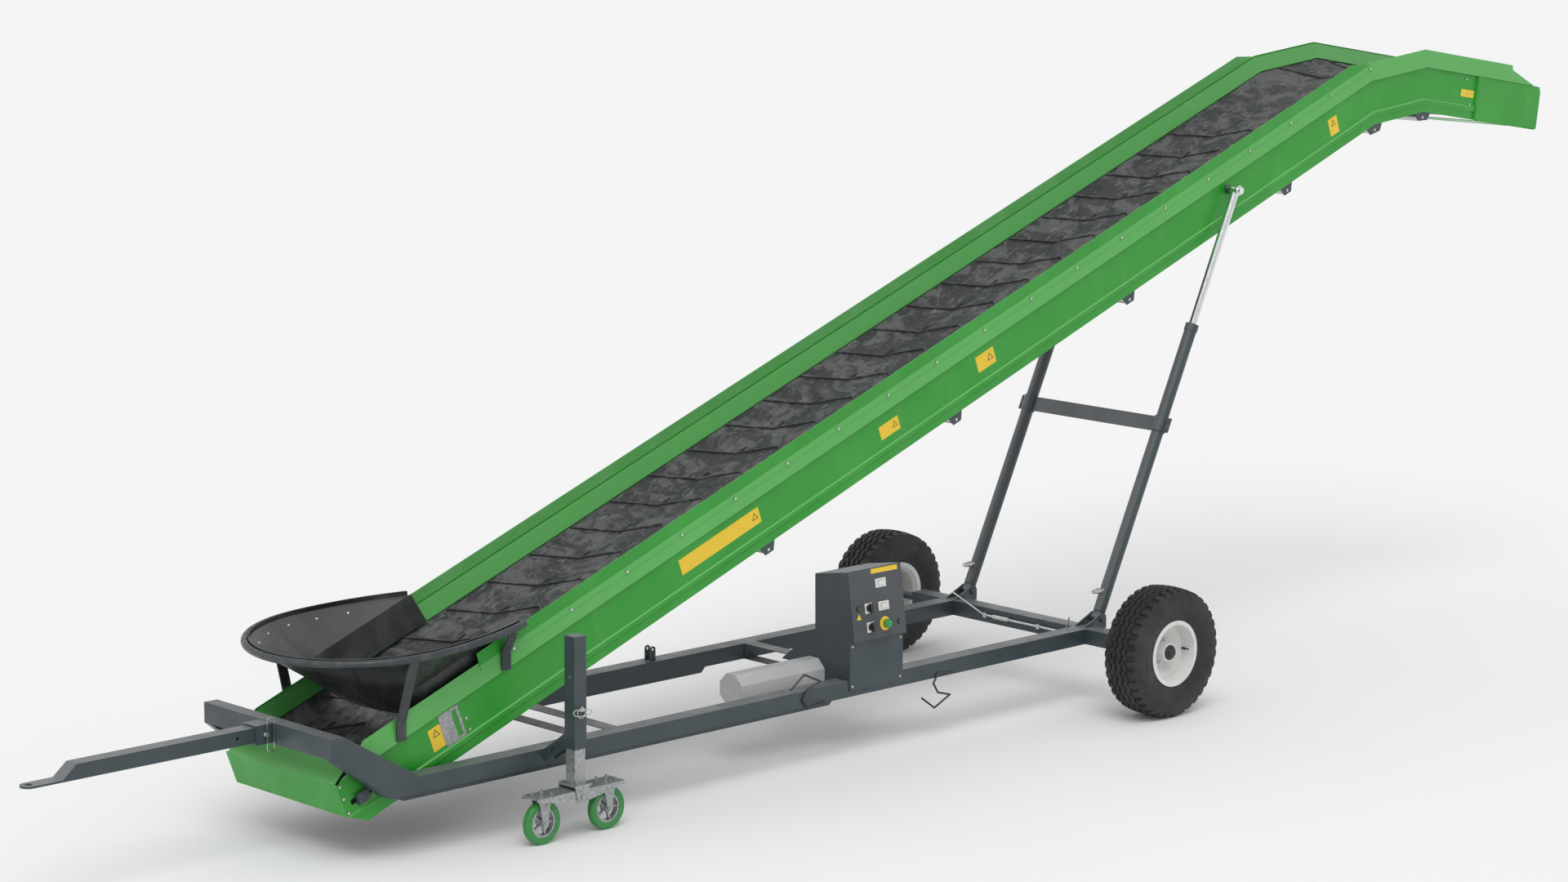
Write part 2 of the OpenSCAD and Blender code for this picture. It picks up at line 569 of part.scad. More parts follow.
// a lever knob on a stem that turns in the panel
module rotary(i) placed() on_panel(con_x, 0, 0) translate([i[0], i[1], 0]) {
  color([0.08, 0.08, 0.08]) {
    translate([0, 0, -22]) cylinder(d = 44, h = 14.5);
    translate([-9, -30, -38]) cube([18, 60, 17]);
    translate([0, 0, -8]) cylinder(d = 18, h = 30);
  }
}
module rotary_switch_upper() rotary(items[0]);
module rotary_switch_lower() rotary(items[1]);
module emergency_stop() placed() on_panel(con_x, 0, 0) translate([items[2][0], items[2][1], 0])
  color([0.16, 0.52, 0.16]) {
    translate([0, 0, -46]) cylinder(d1 = 44, d2 = 58, h = 12);
    translate([0, 0, -34]) cylinder(d = 58, h = 9);
    translate([0, 0, -26]) cylinder(d = 18, h = 46);
  }
module rocker(i) placed() on_panel(con_x, 0, 0) translate([i[0], i[1], 0]) color([0.9, 0.9, 0.9]) {
  translate([-23, -15, -15]) cube([46, 30, 7]);
  translate([0, 0, -9]) cylinder(d = 18, h = 27);
}
module rocker_upper() rocker(items[3]);
module rocker_lower() rocker(items[4]);

module pump_cover() placed() color([0.72, 0.73, 0.73]) difference() {
  run_x(con_x - 702, con_x - 0.3) translate([-rail_y + 312, top_z + 3]) rotate(22.5) circle(d = 213, $fn = 8);
  run_x(con_x - 697, con_x - 5) translate([-rail_y + 312, top_z + 3]) rotate(22.5) circle(d = 203, $fn = 8);
}

// a straight round bar between two points
module link(p, q, d) {
  v = q - p;
  translate(p) rotate([0, acos(v[2] / norm(v)), atan2(v[1], v[0])]) cylinder(d = d, h = norm(v));
}
module bent(points, d) {
  for (i = [0:len(points) - 2]) link(points[i], points[i + 1], d);
  for (i = [1:len(points) - 2]) translate(points[i]) sphere(d = d, $fn = 20);
}
module cable_hooks() placed() color([0.1, 0.1, 0.1]) for (hook = [[-1315, 1], [-2459, -1]]) {
  x = hook[0];
  y = -rail_y - 7;
  z = top_z - 92;
  bent([for (p = [[0, 0], [150, 20], [192, -38], [150, -104], [40, -134], [180, -198], [294, -118]])
    [x - p[0], y, z + hook[1] * p[1]]], 13);
}
pipe_x = beam_x - 17;
module hydraulic_line() placed() {
  color(slate) {
    rod_y(pipe_x, axle_z + 8, 16, -500, 240);
    for (y = [-257, 225]) bar(beam_x - 28, beam_x - 0.3, y - 14, y + 14, axle_z - 8, axle_z + 24);
  }
  color(bright) {
    rod_y(pipe_x, axle_z + 8, 30, 10, 150);
    for (y = [-prop_y + 60, prop_y - 60]) link([pipe_x, y > 0 ? 240 : -500, axle_z + 8],
      [pipe_x, y, top_z + 60], 12);
  }
}

// ---------------------------------------------------------------- boom
// frames of the straight part, the knee piece and the discharge head
module along(i) {
  o = i == 0 ? [0, 0] : i == 1 ? k1 : k2;
  translate([o[0], 0, o[1]]) rotate([0, i * bend, 0]) children();
}
// a closed body through rows of matching points; each row is a strip across the boom, out along one
// face and back along the other, so that point i lies across the sheet from point n - 1 - i
module loft(rows) {
  n = len(rows[0]);
  last = len(rows) - 1;
  sides = [for (k = [0:last - 1], i = [0:n - 1]) each [
    [k * n + i, (k + 1) * n + (i + 1) % n, k * n + (i + 1) % n],
    [k * n + i, (k + 1) * n + i, (k + 1) * n + (i + 1) % n]]];
  b = last * n;
  caps = [for (i = [0:n / 2 - 2]) each [[i, i + 1, n - 1 - i], [i + 1, n - 2 - i, n - 1 - i],
    [b + i, b + n - 1 - i, b + i + 1], [b + i + 1, b + n - 1 - i, b + n - 2 - i]]];
  polyhedron([for (r = rows) each r], concat(sides, caps));
}
// a YZ section carried through the three pieces of the boom, mitred at the bends
function station(i, section) = [for (q = section) let(b = at_bend(i, q[1])) [b[0], q[0], b[1]]];
module swept(section) loft([for (i = [0:3]) station(i, section)]);
wall_section = [[wall_y, 0], [wall_y, 50], [wall_y + 8, 58], [wall_y + 8, 87], [wall_y, 95],
  [wall_y, wall_h], [wall_y + lip, wall_h], [wall_y - 5, wall_h + flange_h],
  [wall_y - 5 - sheet, wall_h + flange_h], [wall_y + lip - sheet - 1, wall_h + sheet],
  [wall_y - sheet, wall_h + sheet], [wall_y - sheet, 98], [wall_y + 4, 89], [wall_y + 4, 56],
  [wall_y - sheet, 47], [wall_y - sheet, 0]];
drum_x = 130;
tail_h = belt_h - belt_t - gap - tail_drum_d / 2;
head_h = belt_h - belt_t - gap - head_drum_d / 2;
head_d = head_len - 186;
shaft_d = 30;
roller_h = -38;
roller_x = [3375, 5115, 6860, 8580];
function roller_at(i) = i < 4 ? [roller_x[i], roller_h] : i == 4 ? at_bend(1, roller_h) : at_bend(2, roller_h);
module side_wall() difference() {
  swept(wall_section);
  // tail corner, take-up slot and the sloping end of the head flange
  between(400, 700) polygon([[-300, -200], [tail_cut, -200], [tail_cut, 0], [0, tail_low], [0, tail_high],
    [260, wall_h + flange_h], [260, 700], [-300, 700]]);
  bar(drum_x - 78, drum_x + 76, 400, 700, tail_h - 17, tail_h + 17);
  between(400, 700) polygon([head_at(head_len - 351, 402), head_at(head_len - 75, wall_h - 5),
    head_at(head_len + 90, wall_h - 5), head_at(head_len + 90, 700), head_at(head_len - 351, 700)]);
  rod_y(head_at(head_d, head_h)[0], head_at(head_d, head_h)[1], shaft_d + 2 * fit, 400, 700);
}
module near_wall() on_boom() color(green) mirror([0, 1, 0]) side_wall();
module far_wall() on_boom() color(green) side_wall();

board_x0 = 1135;
board_x1 = boom_len + 75;
function flange_out(h) = wall_y + lip - (h - wall_h) * (lip + 5) / flange_h;
module side_board() difference() {
  along(0) run_x(board_x0, board_x1) polygon([[flange_out(384) + 0.4, 384], [flange_out(419) + 0.4, 419],
    [wall_y + 5, board_top], [wall_y + 8, board_top], [flange_out(419) + 3.6, 420], [flange_out(384) + 3.6, 384]]);
  between(400, 700) polygon([[board_x1 - 190, board_top + 1], [board_x1 + 1, board_top - 80],
    [board_x1 + 1, board_top + 1]]);
}
module near_board() on_boom() color(green) mirror([0, 1, 0]) side_board();
module far_board() on_boom() color(green) side_board();

wing_end = belt_flat / 2 + (belt_w - belt_flat) / 2 * cos(wing_angle);
skirt_y = wall_y - 5 - sheet + 10 * (lip + 4) / (flange_h - sheet) - 0.3;
module inner_skirts() on_boom() color(green) both() difference() {
  swept([[wing_end, belt_h + 93], [wing_end + 4, belt_h + 93], [skirt_y, wall_h + flange_h - 10],
    [skirt_y - 4, wall_h + flange_h - 10]]);
  between(400, 700) polygon([[-300, -200], [262, -200], [262, 700], [-300, 700]]);
  between(400, 700) polygon([head_at(head_len - 380, -100), head_at(head_len + 90, -100), head_at(head_len + 90, 700),
    head_at(head_len - 380, 700)]);
}
// outline across a trough whose wings rise by a, the surface at h, t thick, the wings w long
function half_trough(h, t, w, a) = let(f = belt_flat / 2)
  [[f, h], [f + w * cos(a), h + w * sin(a)], [f + w * cos(a) + t * sin(a), h + w * sin(a) - t * cos(a)],
    [f + t * tan(a / 2), h - t]];
function trough(h, t, w, a) = let(r = half_trough(h, t, w, a), m = [for (q = r) [-q[0], q[1]]])
  [r[1], r[0], m[0], m[1], m[2], m[3], r[3], r[2]];
bed_y = wall_y - sheet - 0.3;
bed_h = belt_h - belt_t / cos(wing_angle) - gap / 2;
bed_top = bed_h + (bed_y - belt_flat / 2) * tan(wing_angle);
bed_foot = bed_top - 50;
module belt_bed() on_boom() color(green) difference() {
  swept([[bed_y, bed_foot], [bed_y, bed_top], [belt_flat / 2, bed_h], [-belt_flat / 2, bed_h], [-bed_y, bed_top],
    [-bed_y, bed_foot], [3 - bed_y, bed_foot], [3 - bed_y, bed_top - 4.3], [-belt_flat / 2 - 0.5, bed_h - 3],
    [belt_flat / 2 + 0.5, bed_h - 3], [bed_y - 3, bed_top - 4.3], [bed_y - 3, bed_foot]]);
  between(-700, 700) polygon([[-300, -200], [drum_x + 160, -200], [drum_x + 160, 700], [-300, 700]]);
  between(-700, 700) polygon([head_at(head_d - 160, -100), head_at(head_len + 90, -100), head_at(head_len + 90, 700),
    head_at(head_d - 160, 700)]);
}
module cross_ties() on_boom() color(green) for (i = [0:7]) {
  half = wall_y - sheet - 0.3;
  rod_y(700 + i * (boom_len - 1300) / 7, 138, 42, -half, half);
  rod_y(head_at(300, 120)[0], head_at(300, 120)[1], 42, -half, half);
}
// length of the sloping top of the tail cover
cover_len = 190;
module tail_cover() on_boom() color(green) {
  bar(-6, -0.3, -wall_y - 9, wall_y + 9, tail_low, tail_high + 16);
  cover_rise = (452 - tail_high) * cover_len / 336;
  between(-wall_y + sheet + 7, wall_y - sheet - 7) polygon([[-6, tail_high + 12], [-6, tail_high + 17],
    [cover_len - 6, tail_high + 17 + cover_rise], [cover_len - 6, tail_high + 12 + cover_rise]]);
}

// the carrying run flattens over the last stretch before each drum
flatten = 150;
join = 0.2;
function run_row(i, a) = let(w = (belt_w - belt_flat) / 2)
  [for (q = trough(belt_h, belt_t, w, a)) let(b = i == 0 ? [drum_x + join, q[1]] : i == 1 ? [drum_x + flatten, q[1]] :
    i == 2 ? at_bend(1, q[1]) : i == 3 ? at_bend(2, q[1]) : i == 4 ? head_at(head_d - flatten, q[1]) :
    head_at(head_d - join, q[1])) [b[0], q[0], b[1]]];
low = roller_h + roller_d / 2 + 0.4;
tail_in = tail_drum_d / 2 + gap;
head_in = head_drum_d / 2 + gap;
function tail_arc(r, a) = [drum_x + r * cos(a), tail_h + r * sin(a)];
function head_arc(r, a) = head_at(head_d + r * cos(a), head_h + r * sin(a));
module belt() on_boom() color([0.22, 0.22, 0.23]) {
  loft([for (i = [0:5]) run_row(i, i == 0 || i == 5 ? 0 : wing_angle)]);
  // both wraps and the return run
  between(-belt_w / 2, belt_w / 2) polygon(concat(
    [for (a = [90:7.5:270]) tail_arc(tail_in + belt_t, a)],
    [[roller_x[0], low], at_bend(1, low), at_bend(2, low)],
    [for (a = [-90:7.5:90]) head_arc(head_in + belt_t, a)],
    [for (a = [90:-7.5:-90]) head_arc(head_in, a)],
    [at_bend(2, low + belt_t), at_bend(1, low + belt_t), [roller_x[0], low + belt_t]],
    [for (a = [270:-7.5:90]) tail_arc(tail_in, a)]));
}

cleat_w = 12;
sweep = 0.36;
// one arm of a cleat on a flat strip of belt, from its inner end swept back along the boom
module arm(len_y, base) linear_extrude(cleat_h) polygon([[base, 0], [base - sweep * 2 * len_y, len_y],
  [base - sweep * 2 * len_y - cleat_w * 1.25, len_y], [base - cleat_w * 1.25, 0]]);
module cleat(apex) {
  f = belt_flat / 2;
  both() {
    translate([apex, 0, belt_h]) arm(f, 0);
    translate([apex - sweep * 2 * f, f, belt_h]) rotate([wing_angle, 0, 0])
      arm((belt_w - belt_flat) / 2 - 8, 0);
    translate([apex - sweep * 2 * f - cleat_w - 6, f - 10, belt_h]) cube([104, 10, cleat_h - 2]);
  }
}
cleat_n = floor((boom_len - 700) / cleat_pitch);
module belt_cleats() on_boom() color([0.3, 0.3, 0.31]) {
  for (i = [0:cleat_n - 1]) cleat(630 + i * cleat_pitch);
  along(1) cleat(knee_len - 60);
  along(2) for (i = [1:2]) cleat(60 + i * cleat_pitch);
}

module drum(r, w) {
  cylinder(r = r, h = w, center = true);
  cylinder(d = shaft_d, h = boom_w + 50, center = true);
}
module tail_drum() on_boom() translate([drum_x, 0, tail_h]) rotate([90, 0, 0]) color(slate)
  drum(tail_drum_d / 2, boom_w - 56);
module head_drum() on_boom() along(2) translate([head_d, 0, head_h]) rotate([90, 0, 0]) color(slate) {
  cylinder(d = head_drum_d, h = boom_w - 56, center = true);
  cylinder(d = shaft_d, h = boom_w, center = true);
}
module roller_body(i) on_boom() translate([roller_at(i)[0], 0, roller_at(i)[1]]) rotate([90, 0, 0])
  color([0.5, 0.52, 0.53]) {
    cylinder(d = roller_d, h = boom_w - 40, center = true);
    cylinder(d = 20, h = boom_w - 9, center = true);
  }
module return_roller_1() roller_body(0);
module return_roller_2() roller_body(1);
module return_roller_3() roller_body(2);
module return_roller_4() roller_body(3);
module return_roller_5() roller_body(4);
module return_roller_6() roller_body(5);
module roller_brackets() on_boom() color(green) both() for (i = [0:5]) {
  a = i < 4 ? 0 : i == 4 ? bend / 2 : 1.5 * bend;
  translate([roller_at(i)[0], 0, roller_at(i)[1]]) rotate([0, a, 0]) difference() {
    k = i < 4 ? 0.68 : 1;
    between(wall_y - sheet - 7, wall_y - sheet - 0.3) polygon([[-92 * k, 78], [-92 * k, 34], [-52 * k, -22],
      [52 * k, -22], [92 * k, 34], [92 * k, 78]]);
    rod_y(0, 0, 20 + 2 * fit, 400, 600);
  }
}
module boom_bolts() on_boom() color(bright) both() {
  for (i = [0:18]) rod_y(board_x0 + 250 + i * bolt_pitch, 396, 18, flange_out(387) + 3.9, flange_out(387) + 11);
  for (x = [937], z = [118, 189]) rod_y(x, z, 16, wall_y + 0.3, wall_y + 7);
  for (p = [[12, 281], [12, 188 + 14], [12, 111]]) rod_y(p[0], p[1], 16, wall_y + 0.3, wall_y + 7);
  for (p = [[head_len - 900, 280], [head_len - 860, 180], [head_len - 830, 105]])
    rod_y(head_at(p[0], p[1])[0], head_at(p[0], p[1])[1], 16, wall_y + 0.3, wall_y + 7);
}
module slot_plates() on_boom() color([0.66, 0.68, 0.69]) both() {
  difference() {
    bar(758, 908, wall_y + 0.3, wall_y + 3.3, 100, 299);
    bar(853, 888, wall_y - 1, wall_y + 9, 116, 281);
  }
  for (x = [768, 845, 898], z = [108, 291]) rod_y(x, z, 8, wall_y + 3.4, wall_y + 6);
}
// cheeks of the discharge head with a bevelled end, joined by a drip plate
module head_hood() on_boom() along(2) color(green) {
  both() difference() {
    union() {
      between(wall_y + 0.3, wall_y + 12) polygon([[600, 6], [head_len + 6, 6], [head_len + 6, 276],
        [head_len - 14, wall_h - 1], [588, wall_h - 1]]);
      between(wall_y + 0.3, wall_y + 20) polygon([[596, 6], [622, 6], [612, wall_h - 1], [586, wall_h - 1]]);
    }
    rod_y(head_d, head_h, shaft_d + 4, 400, wall_y + 5);
    bar(570, head_len + 90, wall_y, wall_y + 8.3, 47, 98);
  }
  bar(640, 1000, -wall_y - 0.3, wall_y + 0.3, -4, -0.3);
  bar(640, 1000, -wall_y - 12, -wall_y, -4, 7);
  bar(640, 1000, wall_y, wall_y + 12, -4, 7);
}

// ---------------------------------------------------------------- boom bearings and lift cylinders
pin_ground = [foot_x, foot_z] + 3033 * [cos(64.36), sin(64.36)];
tilt = atan2(pin_ground[1] - foot_z, pin_ground[0] - foot_x);
stroke_len = norm(pin_ground - [foot_x, foot_z]);
eye_in = wall_y + 48;
module boom_bearings() {
  on_boom() color(slate) both() {
    // sliding tail bearings
    difference() {
      bar(drum_x - 42, drum_x + 42, wall_y + 0.3, wall_y + 26, tail_h - 32, tail_h + 32);
      rod_y(drum_x, tail_h, shaft_d + 2 * fit, 400, 700);
    }
  }
  placed() color(slate) both() {
    rod_y(pivot_ground[0], pivot_ground[1], boss_pin_d, wall_y + 8.3, rail_y - 14);
    rod_y(pivot_ground[0], pivot_ground[1], 76, wall_y + 8.3, rail_y - rail_w - gap);
    rod_y(pin_ground[0], pin_ground[1], 60, wall_y + 8.3, eye_in - gap);
  }
}
// a cylinder frame: origin on the foot pin, z along the ram
module ram(s) placed() translate([foot_x, s * prop_y, foot_z]) rotate([0, 90 - tilt, 0]) children();
module prop_barrels() color(slate) for (s = [-1, 1]) ram(s) {
  difference() {
    union() {
      translate([0, 0, 45]) cylinder(d = barrel_d, h = barrel_len - 45);
      translate([0, 0, barrel_len - 46]) cylinder(d = barrel_d + 8, h = 46);
      rod_y(0, 0, 62, -lug_gap / 2 + 2, lug_gap / 2 - 2);
      translate([-25, -lug_gap / 2 + 4, 0]) cube([50, lug_gap - 8, 50]);
    }
    translate([0, 0, 70]) cylinder(d = rod_d + 2 * fit, h = barrel_len);
  }
  rod_y(0, 0, pin_d, -lug_gap / 2 - lug_t - 14, lug_gap / 2 + lug_t + 14);
  for (y = [-lug_gap / 2 - lug_t - 12, lug_gap / 2 + lug_t + gap]) rod_y(0, 0, 44, y, y + 12 - gap);
}
brace_h = 1360;
module prop_brace() {
  color(slate) placed() translate([foot_x, 0, foot_z]) rotate([0, 90 - tilt, 0]) difference() {
    union() {
      translate([-5, -prop_y - barrel_d / 2 - 42, brace_h - 50]) cube([10, 2 * prop_y + barrel_d + 84, 100]);
      for (s = [-1, 1]) translate([0, s * prop_y, brace_h - 50]) cylinder(d = barrel_d + 16, h = 100);
    }
    for (s = [-1, 1]) translate([0, s * prop_y, brace_h - 60]) cylinder(d = barrel_d + 0.6, h = 120);
  }
  color(bright) for (s = [-1, 1]) ram(s) for (z = [-26, 26])
    translate([-5, s * (barrel_d / 2 + 26), brace_h + z]) rotate([0, -90, 0]) cylinder(d = 18, h = 9, $fn = 6);
}
module prop_rods() color([0.85, 0.86, 0.87]) for (s = [-1, 1]) ram(s) {
  far_end = stroke_len;
  translate([0, 0, barrel_len - 1000]) cylinder(d = rod_d, h = far_end - barrel_len + 1000 - 10);
  e = eye_in - prop_y;
  rod_y(0, far_end, 66, s > 0 ? e : -e - 60, s > 0 ? e + 60 : -e);
  rod_y(0, far_end, 46, s > 0 ? e + 59 : -e - 80, s > 0 ? e + 80 : -e - 59);
}

// ---------------------------------------------------------------- hopper
// frame of the tilted rim: origin above the centre of the rounded front
hop_x = rail_x + 480;
rim_z = 1158;
rim_tilt = 2.9;
rear_r = 1740;
rear_a = 24;
side_c = rear_r - hopper_r;
module on_rim() placed() translate([hop_x, 0, rim_z]) rotate([0, -rim_tilt, 0]) children();
// outline of the rim from the near rear end round the front to the far rear end, t from -1 to 1
turn = rear_a + 90;
function rim_point(t, r) = abs(t) * turn <= 90 ?
  r * [-cos(t * turn), sin(t * turn)] :
  [(rear_r + r - hopper_r) * sin(abs(t) * turn - 90), sign(t) * ((rear_r + r - hopper_r) * cos(abs(t) * turn - 90) - side_c)];
// the same point in the boom frame
function rim_boom(t, r, up) = let(p = rim_point(t, r), g = [hop_x, rim_z] + turned([p[0], up], rim_tilt),
  b = turned(g - [boom_tail_x, boom_tail_z], -boom_angle)) [b[0], p[1], b[1]];
mouth_h = belt_h + 101;
function mouth(t) = abs(t) * turn <= 90 ?
  [900 - 260 * pow(cos(t * turn), 0.5), sign(t) * 440 * pow(abs(sin(t * turn)), 0.8), mouth_h] :
  [900 + (abs(t) * turn - 90) / rear_a * 600, sign(t) * 440, mouth_h];
function middle(t, r) = let(u = rim_boom(t, r, 12), m = mouth(t), f = (board_top + 14 - m[2]) / (u[2] - m[2]),
  p = m + f * (u - m)) [p[0], max(-wall_y + 17, min(wall_y - 17, p[1])), board_top + 14];
hop_n = 96;
skin = 4;
panel_r = hopper_r - rim_tube_d / 2 - 0.4;
function row(k, t) = k == 0 ? mouth(t) : k == 1 ? middle(t, panel_r) : rim_boom(t, panel_r, k == 2 ? -3 : 24);
function inward(k, t) = row(k, t) - skin * (abs(t) * turn <= 90 ? [-cos(t * turn), sin(t * turn), -0.4] :
  [0, sign(t), -0.4]);
module hopper_panels() on_boom() color([0.1, 0.1, 0.1]) {
  n = hop_n + 1;
  outer = [for (k = [0:3], i = [0:hop_n]) row(k, -1 + 2 * i / hop_n)];
  inner = [for (k = [0:3], i = [0:hop_n]) inward(k, -1 + 2 * i / hop_n)];
  m = 4 * n;
  top = 3 * n;
  faces = concat(
    [for (k = [0:2], i = [0:hop_n - 1]) [k * n + i, k * n + i + 1, (k + 1) * n + i + 1]],
    [for (k = [0:2], i = [0:hop_n - 1]) [k * n + i, (k + 1) * n + i + 1, (k + 1) * n + i]],
    [for (k = [0:2], i = [0:hop_n - 1]) [m + k * n + i, m + (k + 1) * n + i + 1, m + k * n + i + 1]],
    [for (k = [0:2], i = [0:hop_n - 1]) [m + k * n + i, m + (k + 1) * n + i, m + (k + 1) * n + i + 1]],
    [for (i = [0:hop_n - 1]) [i, m + i + 1, i + 1]], [for (i = [0:hop_n - 1]) [i, m + i, m + i + 1]],
    [for (i = [0:hop_n - 1]) [top + i, top + i + 1, m + top + i + 1]],
    [for (i = [0:hop_n - 1]) [top + i, m + top + i + 1, m + top + i]],
    [for (k = [0:2]) [k * n, (k + 1) * n, m + (k + 1) * n]], [for (k = [0:2]) [k * n, m + (k + 1) * n, m + k * n]],
    [for (k = [0:2]) [k * n + hop_n, m + (k + 1) * n + hop_n, (k + 1) * n + hop_n]],
    [for (k = [0:2]) [k * n + hop_n, m + k * n + hop_n, m + (k + 1) * n + hop_n]]);
  polyhedron(concat(outer, inner), faces);
}
module hopper_rim() on_rim() color([0.1, 0.1, 0.1]) {
  rotate(90) rotate_extrude(angle = 180) translate([hopper_r, 0]) circle(d = rim_tube_d);
  both() translate([0, -side_c, 0]) rotate(90 - rear_a) rotate_extrude(angle = rear_a)
    translate([rear_r, 0]) circle(d = rim_tube_d);
}
module hopper_legs() placed() color([0.1, 0.1, 0.1]) both() for (x = [443, 1252]) {
  foot = on_ground([x, wall_h + 10]);
  rx = foot[0] - hop_x;
  ry = rx < 0 ? sqrt(hopper_r * hopper_r - rx * rx) : sqrt(rear_r * rear_r - rx * rx) - side_c;
  rz = rim_z + (rx + 33) * tan(rim_tilt) - rim_tube_d / 2 - 1.4;
  run_x(foot[0], foot[0] + 66) polygon([[wall_y + lip + 0.4, foot[1]], [wall_y + lip + 0.4, foot[1] + 110],
    [ry - 8, rz], [ry, rz], [wall_y + lip + 8.4, foot[1] + 110], [wall_y + lip + 8.4, foot[1]]]);
}

side_rails();
cross_members();
front_frame();
axle_beam();
leg_sleeve();
console_case();
console_panel();
console_trim();
pump_cover();
cable_hooks();
hydraulic_line();
drawbar();
drawbar_pin();
leg_pin();
inner_leg();
leg_saddle();
bogie();
castor_forks();
castor_hub_front();
castor_hub_rear();
castor_tyre_front();
castor_tyre_rear();
rotary_switch_upper();
rotary_switch_lower();
emergency_stop();
rocker_upper();
rocker_lower();
near_wall();
far_wall();
near_board();
far_board();
inner_skirts();
belt_bed();
cross_ties();
tail_cover();
head_hood();
belt();
belt_cleats();
roller_brackets();
boom_bolts();
slot_plates();
hopper_panels();
hopper_rim();
hopper_legs();
tail_drum();
head_drum();
boom_bearings();
return_roller_1();
return_roller_2();
return_roller_3();
return_roller_4();
return_roller_5();
return_roller_6();
prop_barrels();
prop_brace();
prop_rods();
near_tyre();
near_wheel();
far_tyre();
far_wheel();
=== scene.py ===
import math

import bmesh
import bpy
from mathutils import Matrix, Vector
from mathutils.bvhtree import BVHTree


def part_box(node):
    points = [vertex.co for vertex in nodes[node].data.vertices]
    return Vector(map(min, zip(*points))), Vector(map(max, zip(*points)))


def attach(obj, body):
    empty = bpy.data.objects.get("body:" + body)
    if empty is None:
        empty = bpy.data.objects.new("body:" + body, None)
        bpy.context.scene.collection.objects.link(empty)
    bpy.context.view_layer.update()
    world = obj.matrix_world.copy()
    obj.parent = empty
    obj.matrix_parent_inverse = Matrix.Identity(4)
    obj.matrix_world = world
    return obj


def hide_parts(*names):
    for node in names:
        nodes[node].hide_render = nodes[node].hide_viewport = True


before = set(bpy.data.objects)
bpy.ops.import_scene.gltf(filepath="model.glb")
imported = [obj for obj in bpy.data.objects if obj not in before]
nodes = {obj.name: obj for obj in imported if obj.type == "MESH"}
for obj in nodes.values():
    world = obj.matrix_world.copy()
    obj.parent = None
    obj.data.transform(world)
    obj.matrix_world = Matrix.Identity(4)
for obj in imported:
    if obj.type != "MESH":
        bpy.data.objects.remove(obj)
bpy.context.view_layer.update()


# ---------------------------------------------------------------- boom sheets
# The walls, side boards, skirts, bed and hood are folded sheet in a bright green enamel.
# The paint has a faint orange peel and rain has streaked the walls. Faces tilted a little upward,
# such as the top bands and the bead, are painted lighter as a painted highlight from the light above,
# and faces turned further up are painted lighter still as painted top light.
class Socket:
    """An output of a material node; sums and products of sockets add Math nodes."""

    def __init__(self, finish, output):
        self.finish = finish
        self.output = output

    def math(self, operation, first, second):
        return self.finish.node("ShaderNodeMath", {"operation": operation}, {0: first, 1: second})

    def __add__(self, other):
        return self.math("ADD", self, other)

    def __radd__(self, other):
        return self.math("ADD", other, self)

    def __sub__(self, other):
        return self.math("SUBTRACT", self, other)

    def __rsub__(self, other):
        return self.math("SUBTRACT", other, self)

    def __mul__(self, other):
        return self.math("MULTIPLY", self, other)

    def __rmul__(self, other):
        return self.math("MULTIPLY", other, self)

    def between(self, start, end, low=0.0, high=1.0):
        """Runs smoothly from low to high while the value goes from start to end."""
        return self.finish.node("ShaderNodeMapRange", {"interpolation_type": "SMOOTHSTEP"}, {
            "Value": self, "From Min": start, "From Max": end, "To Min": low, "To Max": high})


class Finish:
    """A material built up in layers: base colour, dust, wear and painted light, then gloss and relief."""

    def __init__(self, name, colour, roughness, metallic=0.0, coat=0.0):
        self.material = bpy.data.materials.new(name)
        self.material.use_nodes = True
        self.material.diffuse_color = (*colour, 1)
        self.shader = self.material.node_tree.nodes["Principled BSDF"]
        self.shader.inputs["Base Color"].default_value = (*colour, 1)
        self.shader.inputs["Roughness"].default_value = roughness
        self.shader.inputs["Metallic"].default_value = metallic
        self.shader.inputs["Coat Weight"].default_value = coat
        self.shader.inputs["Coat Roughness"].default_value = 0.2
        self.colour = (*colour, 1)
        self.place = self.node("ShaderNodeTexCoord", {}, {}, "Object")

    def node(self, kind, settings, inputs, output=0):
        made = self.material.node_tree.nodes.new(kind)
        for key, value in settings.items():
            setattr(made, key, value)
        for key, value in inputs.items():
            if isinstance(value, Socket):
                self.material.node_tree.links.new(value.output, made.inputs[key])
            else:
                made.inputs[key].default_value = value
        return Socket(self, made.outputs[output])

    def feed(self, name, value):
        self.material.node_tree.links.new(value.output, self.shader.inputs[name])

    def noise(self, scale, detail=4.0, stretch=(1, 1, 1), distortion=0.0):
        place = self.node("ShaderNodeMapping", {}, {"Vector": self.place, "Scale": stretch})
        return self.node("ShaderNodeTexNoise", {}, {
            "Vector": place, "Scale": scale, "Detail": detail, "Roughness": 0.6, "Distortion": distortion})

    def grains(self, scale):
        return self.node("ShaderNodeTexVoronoi", {}, {"Vector": self.place, "Scale": scale}, "Distance")

    def facing_up(self):
        normal = self.node("ShaderNodeNewGeometry", {}, {}, "Normal")
        return self.node("ShaderNodeSeparateXYZ", {}, {0: normal}, 2)

    def cover(self, colour, amount):
        layer = self.node("ShaderNodeMix", {"data_type": "RGBA"},
                          {0: amount, 6: self.colour, 7: (*colour, 1)}, 2)
        self.colour = layer
        self.feed("Base Color", layer)

    def gloss(self, roughness):
        self.feed("Roughness", roughness)

    def relief(self, height):
        bump = self.node("ShaderNodeBump", {}, {"Height": height, "Strength": 0.6, "Distance": 1.0})
        self.feed("Normal", bump)


def dress(finish, *names):
    for name in names:
        nodes[name].data.materials.clear()
        nodes[name].data.materials.append(finish.material)


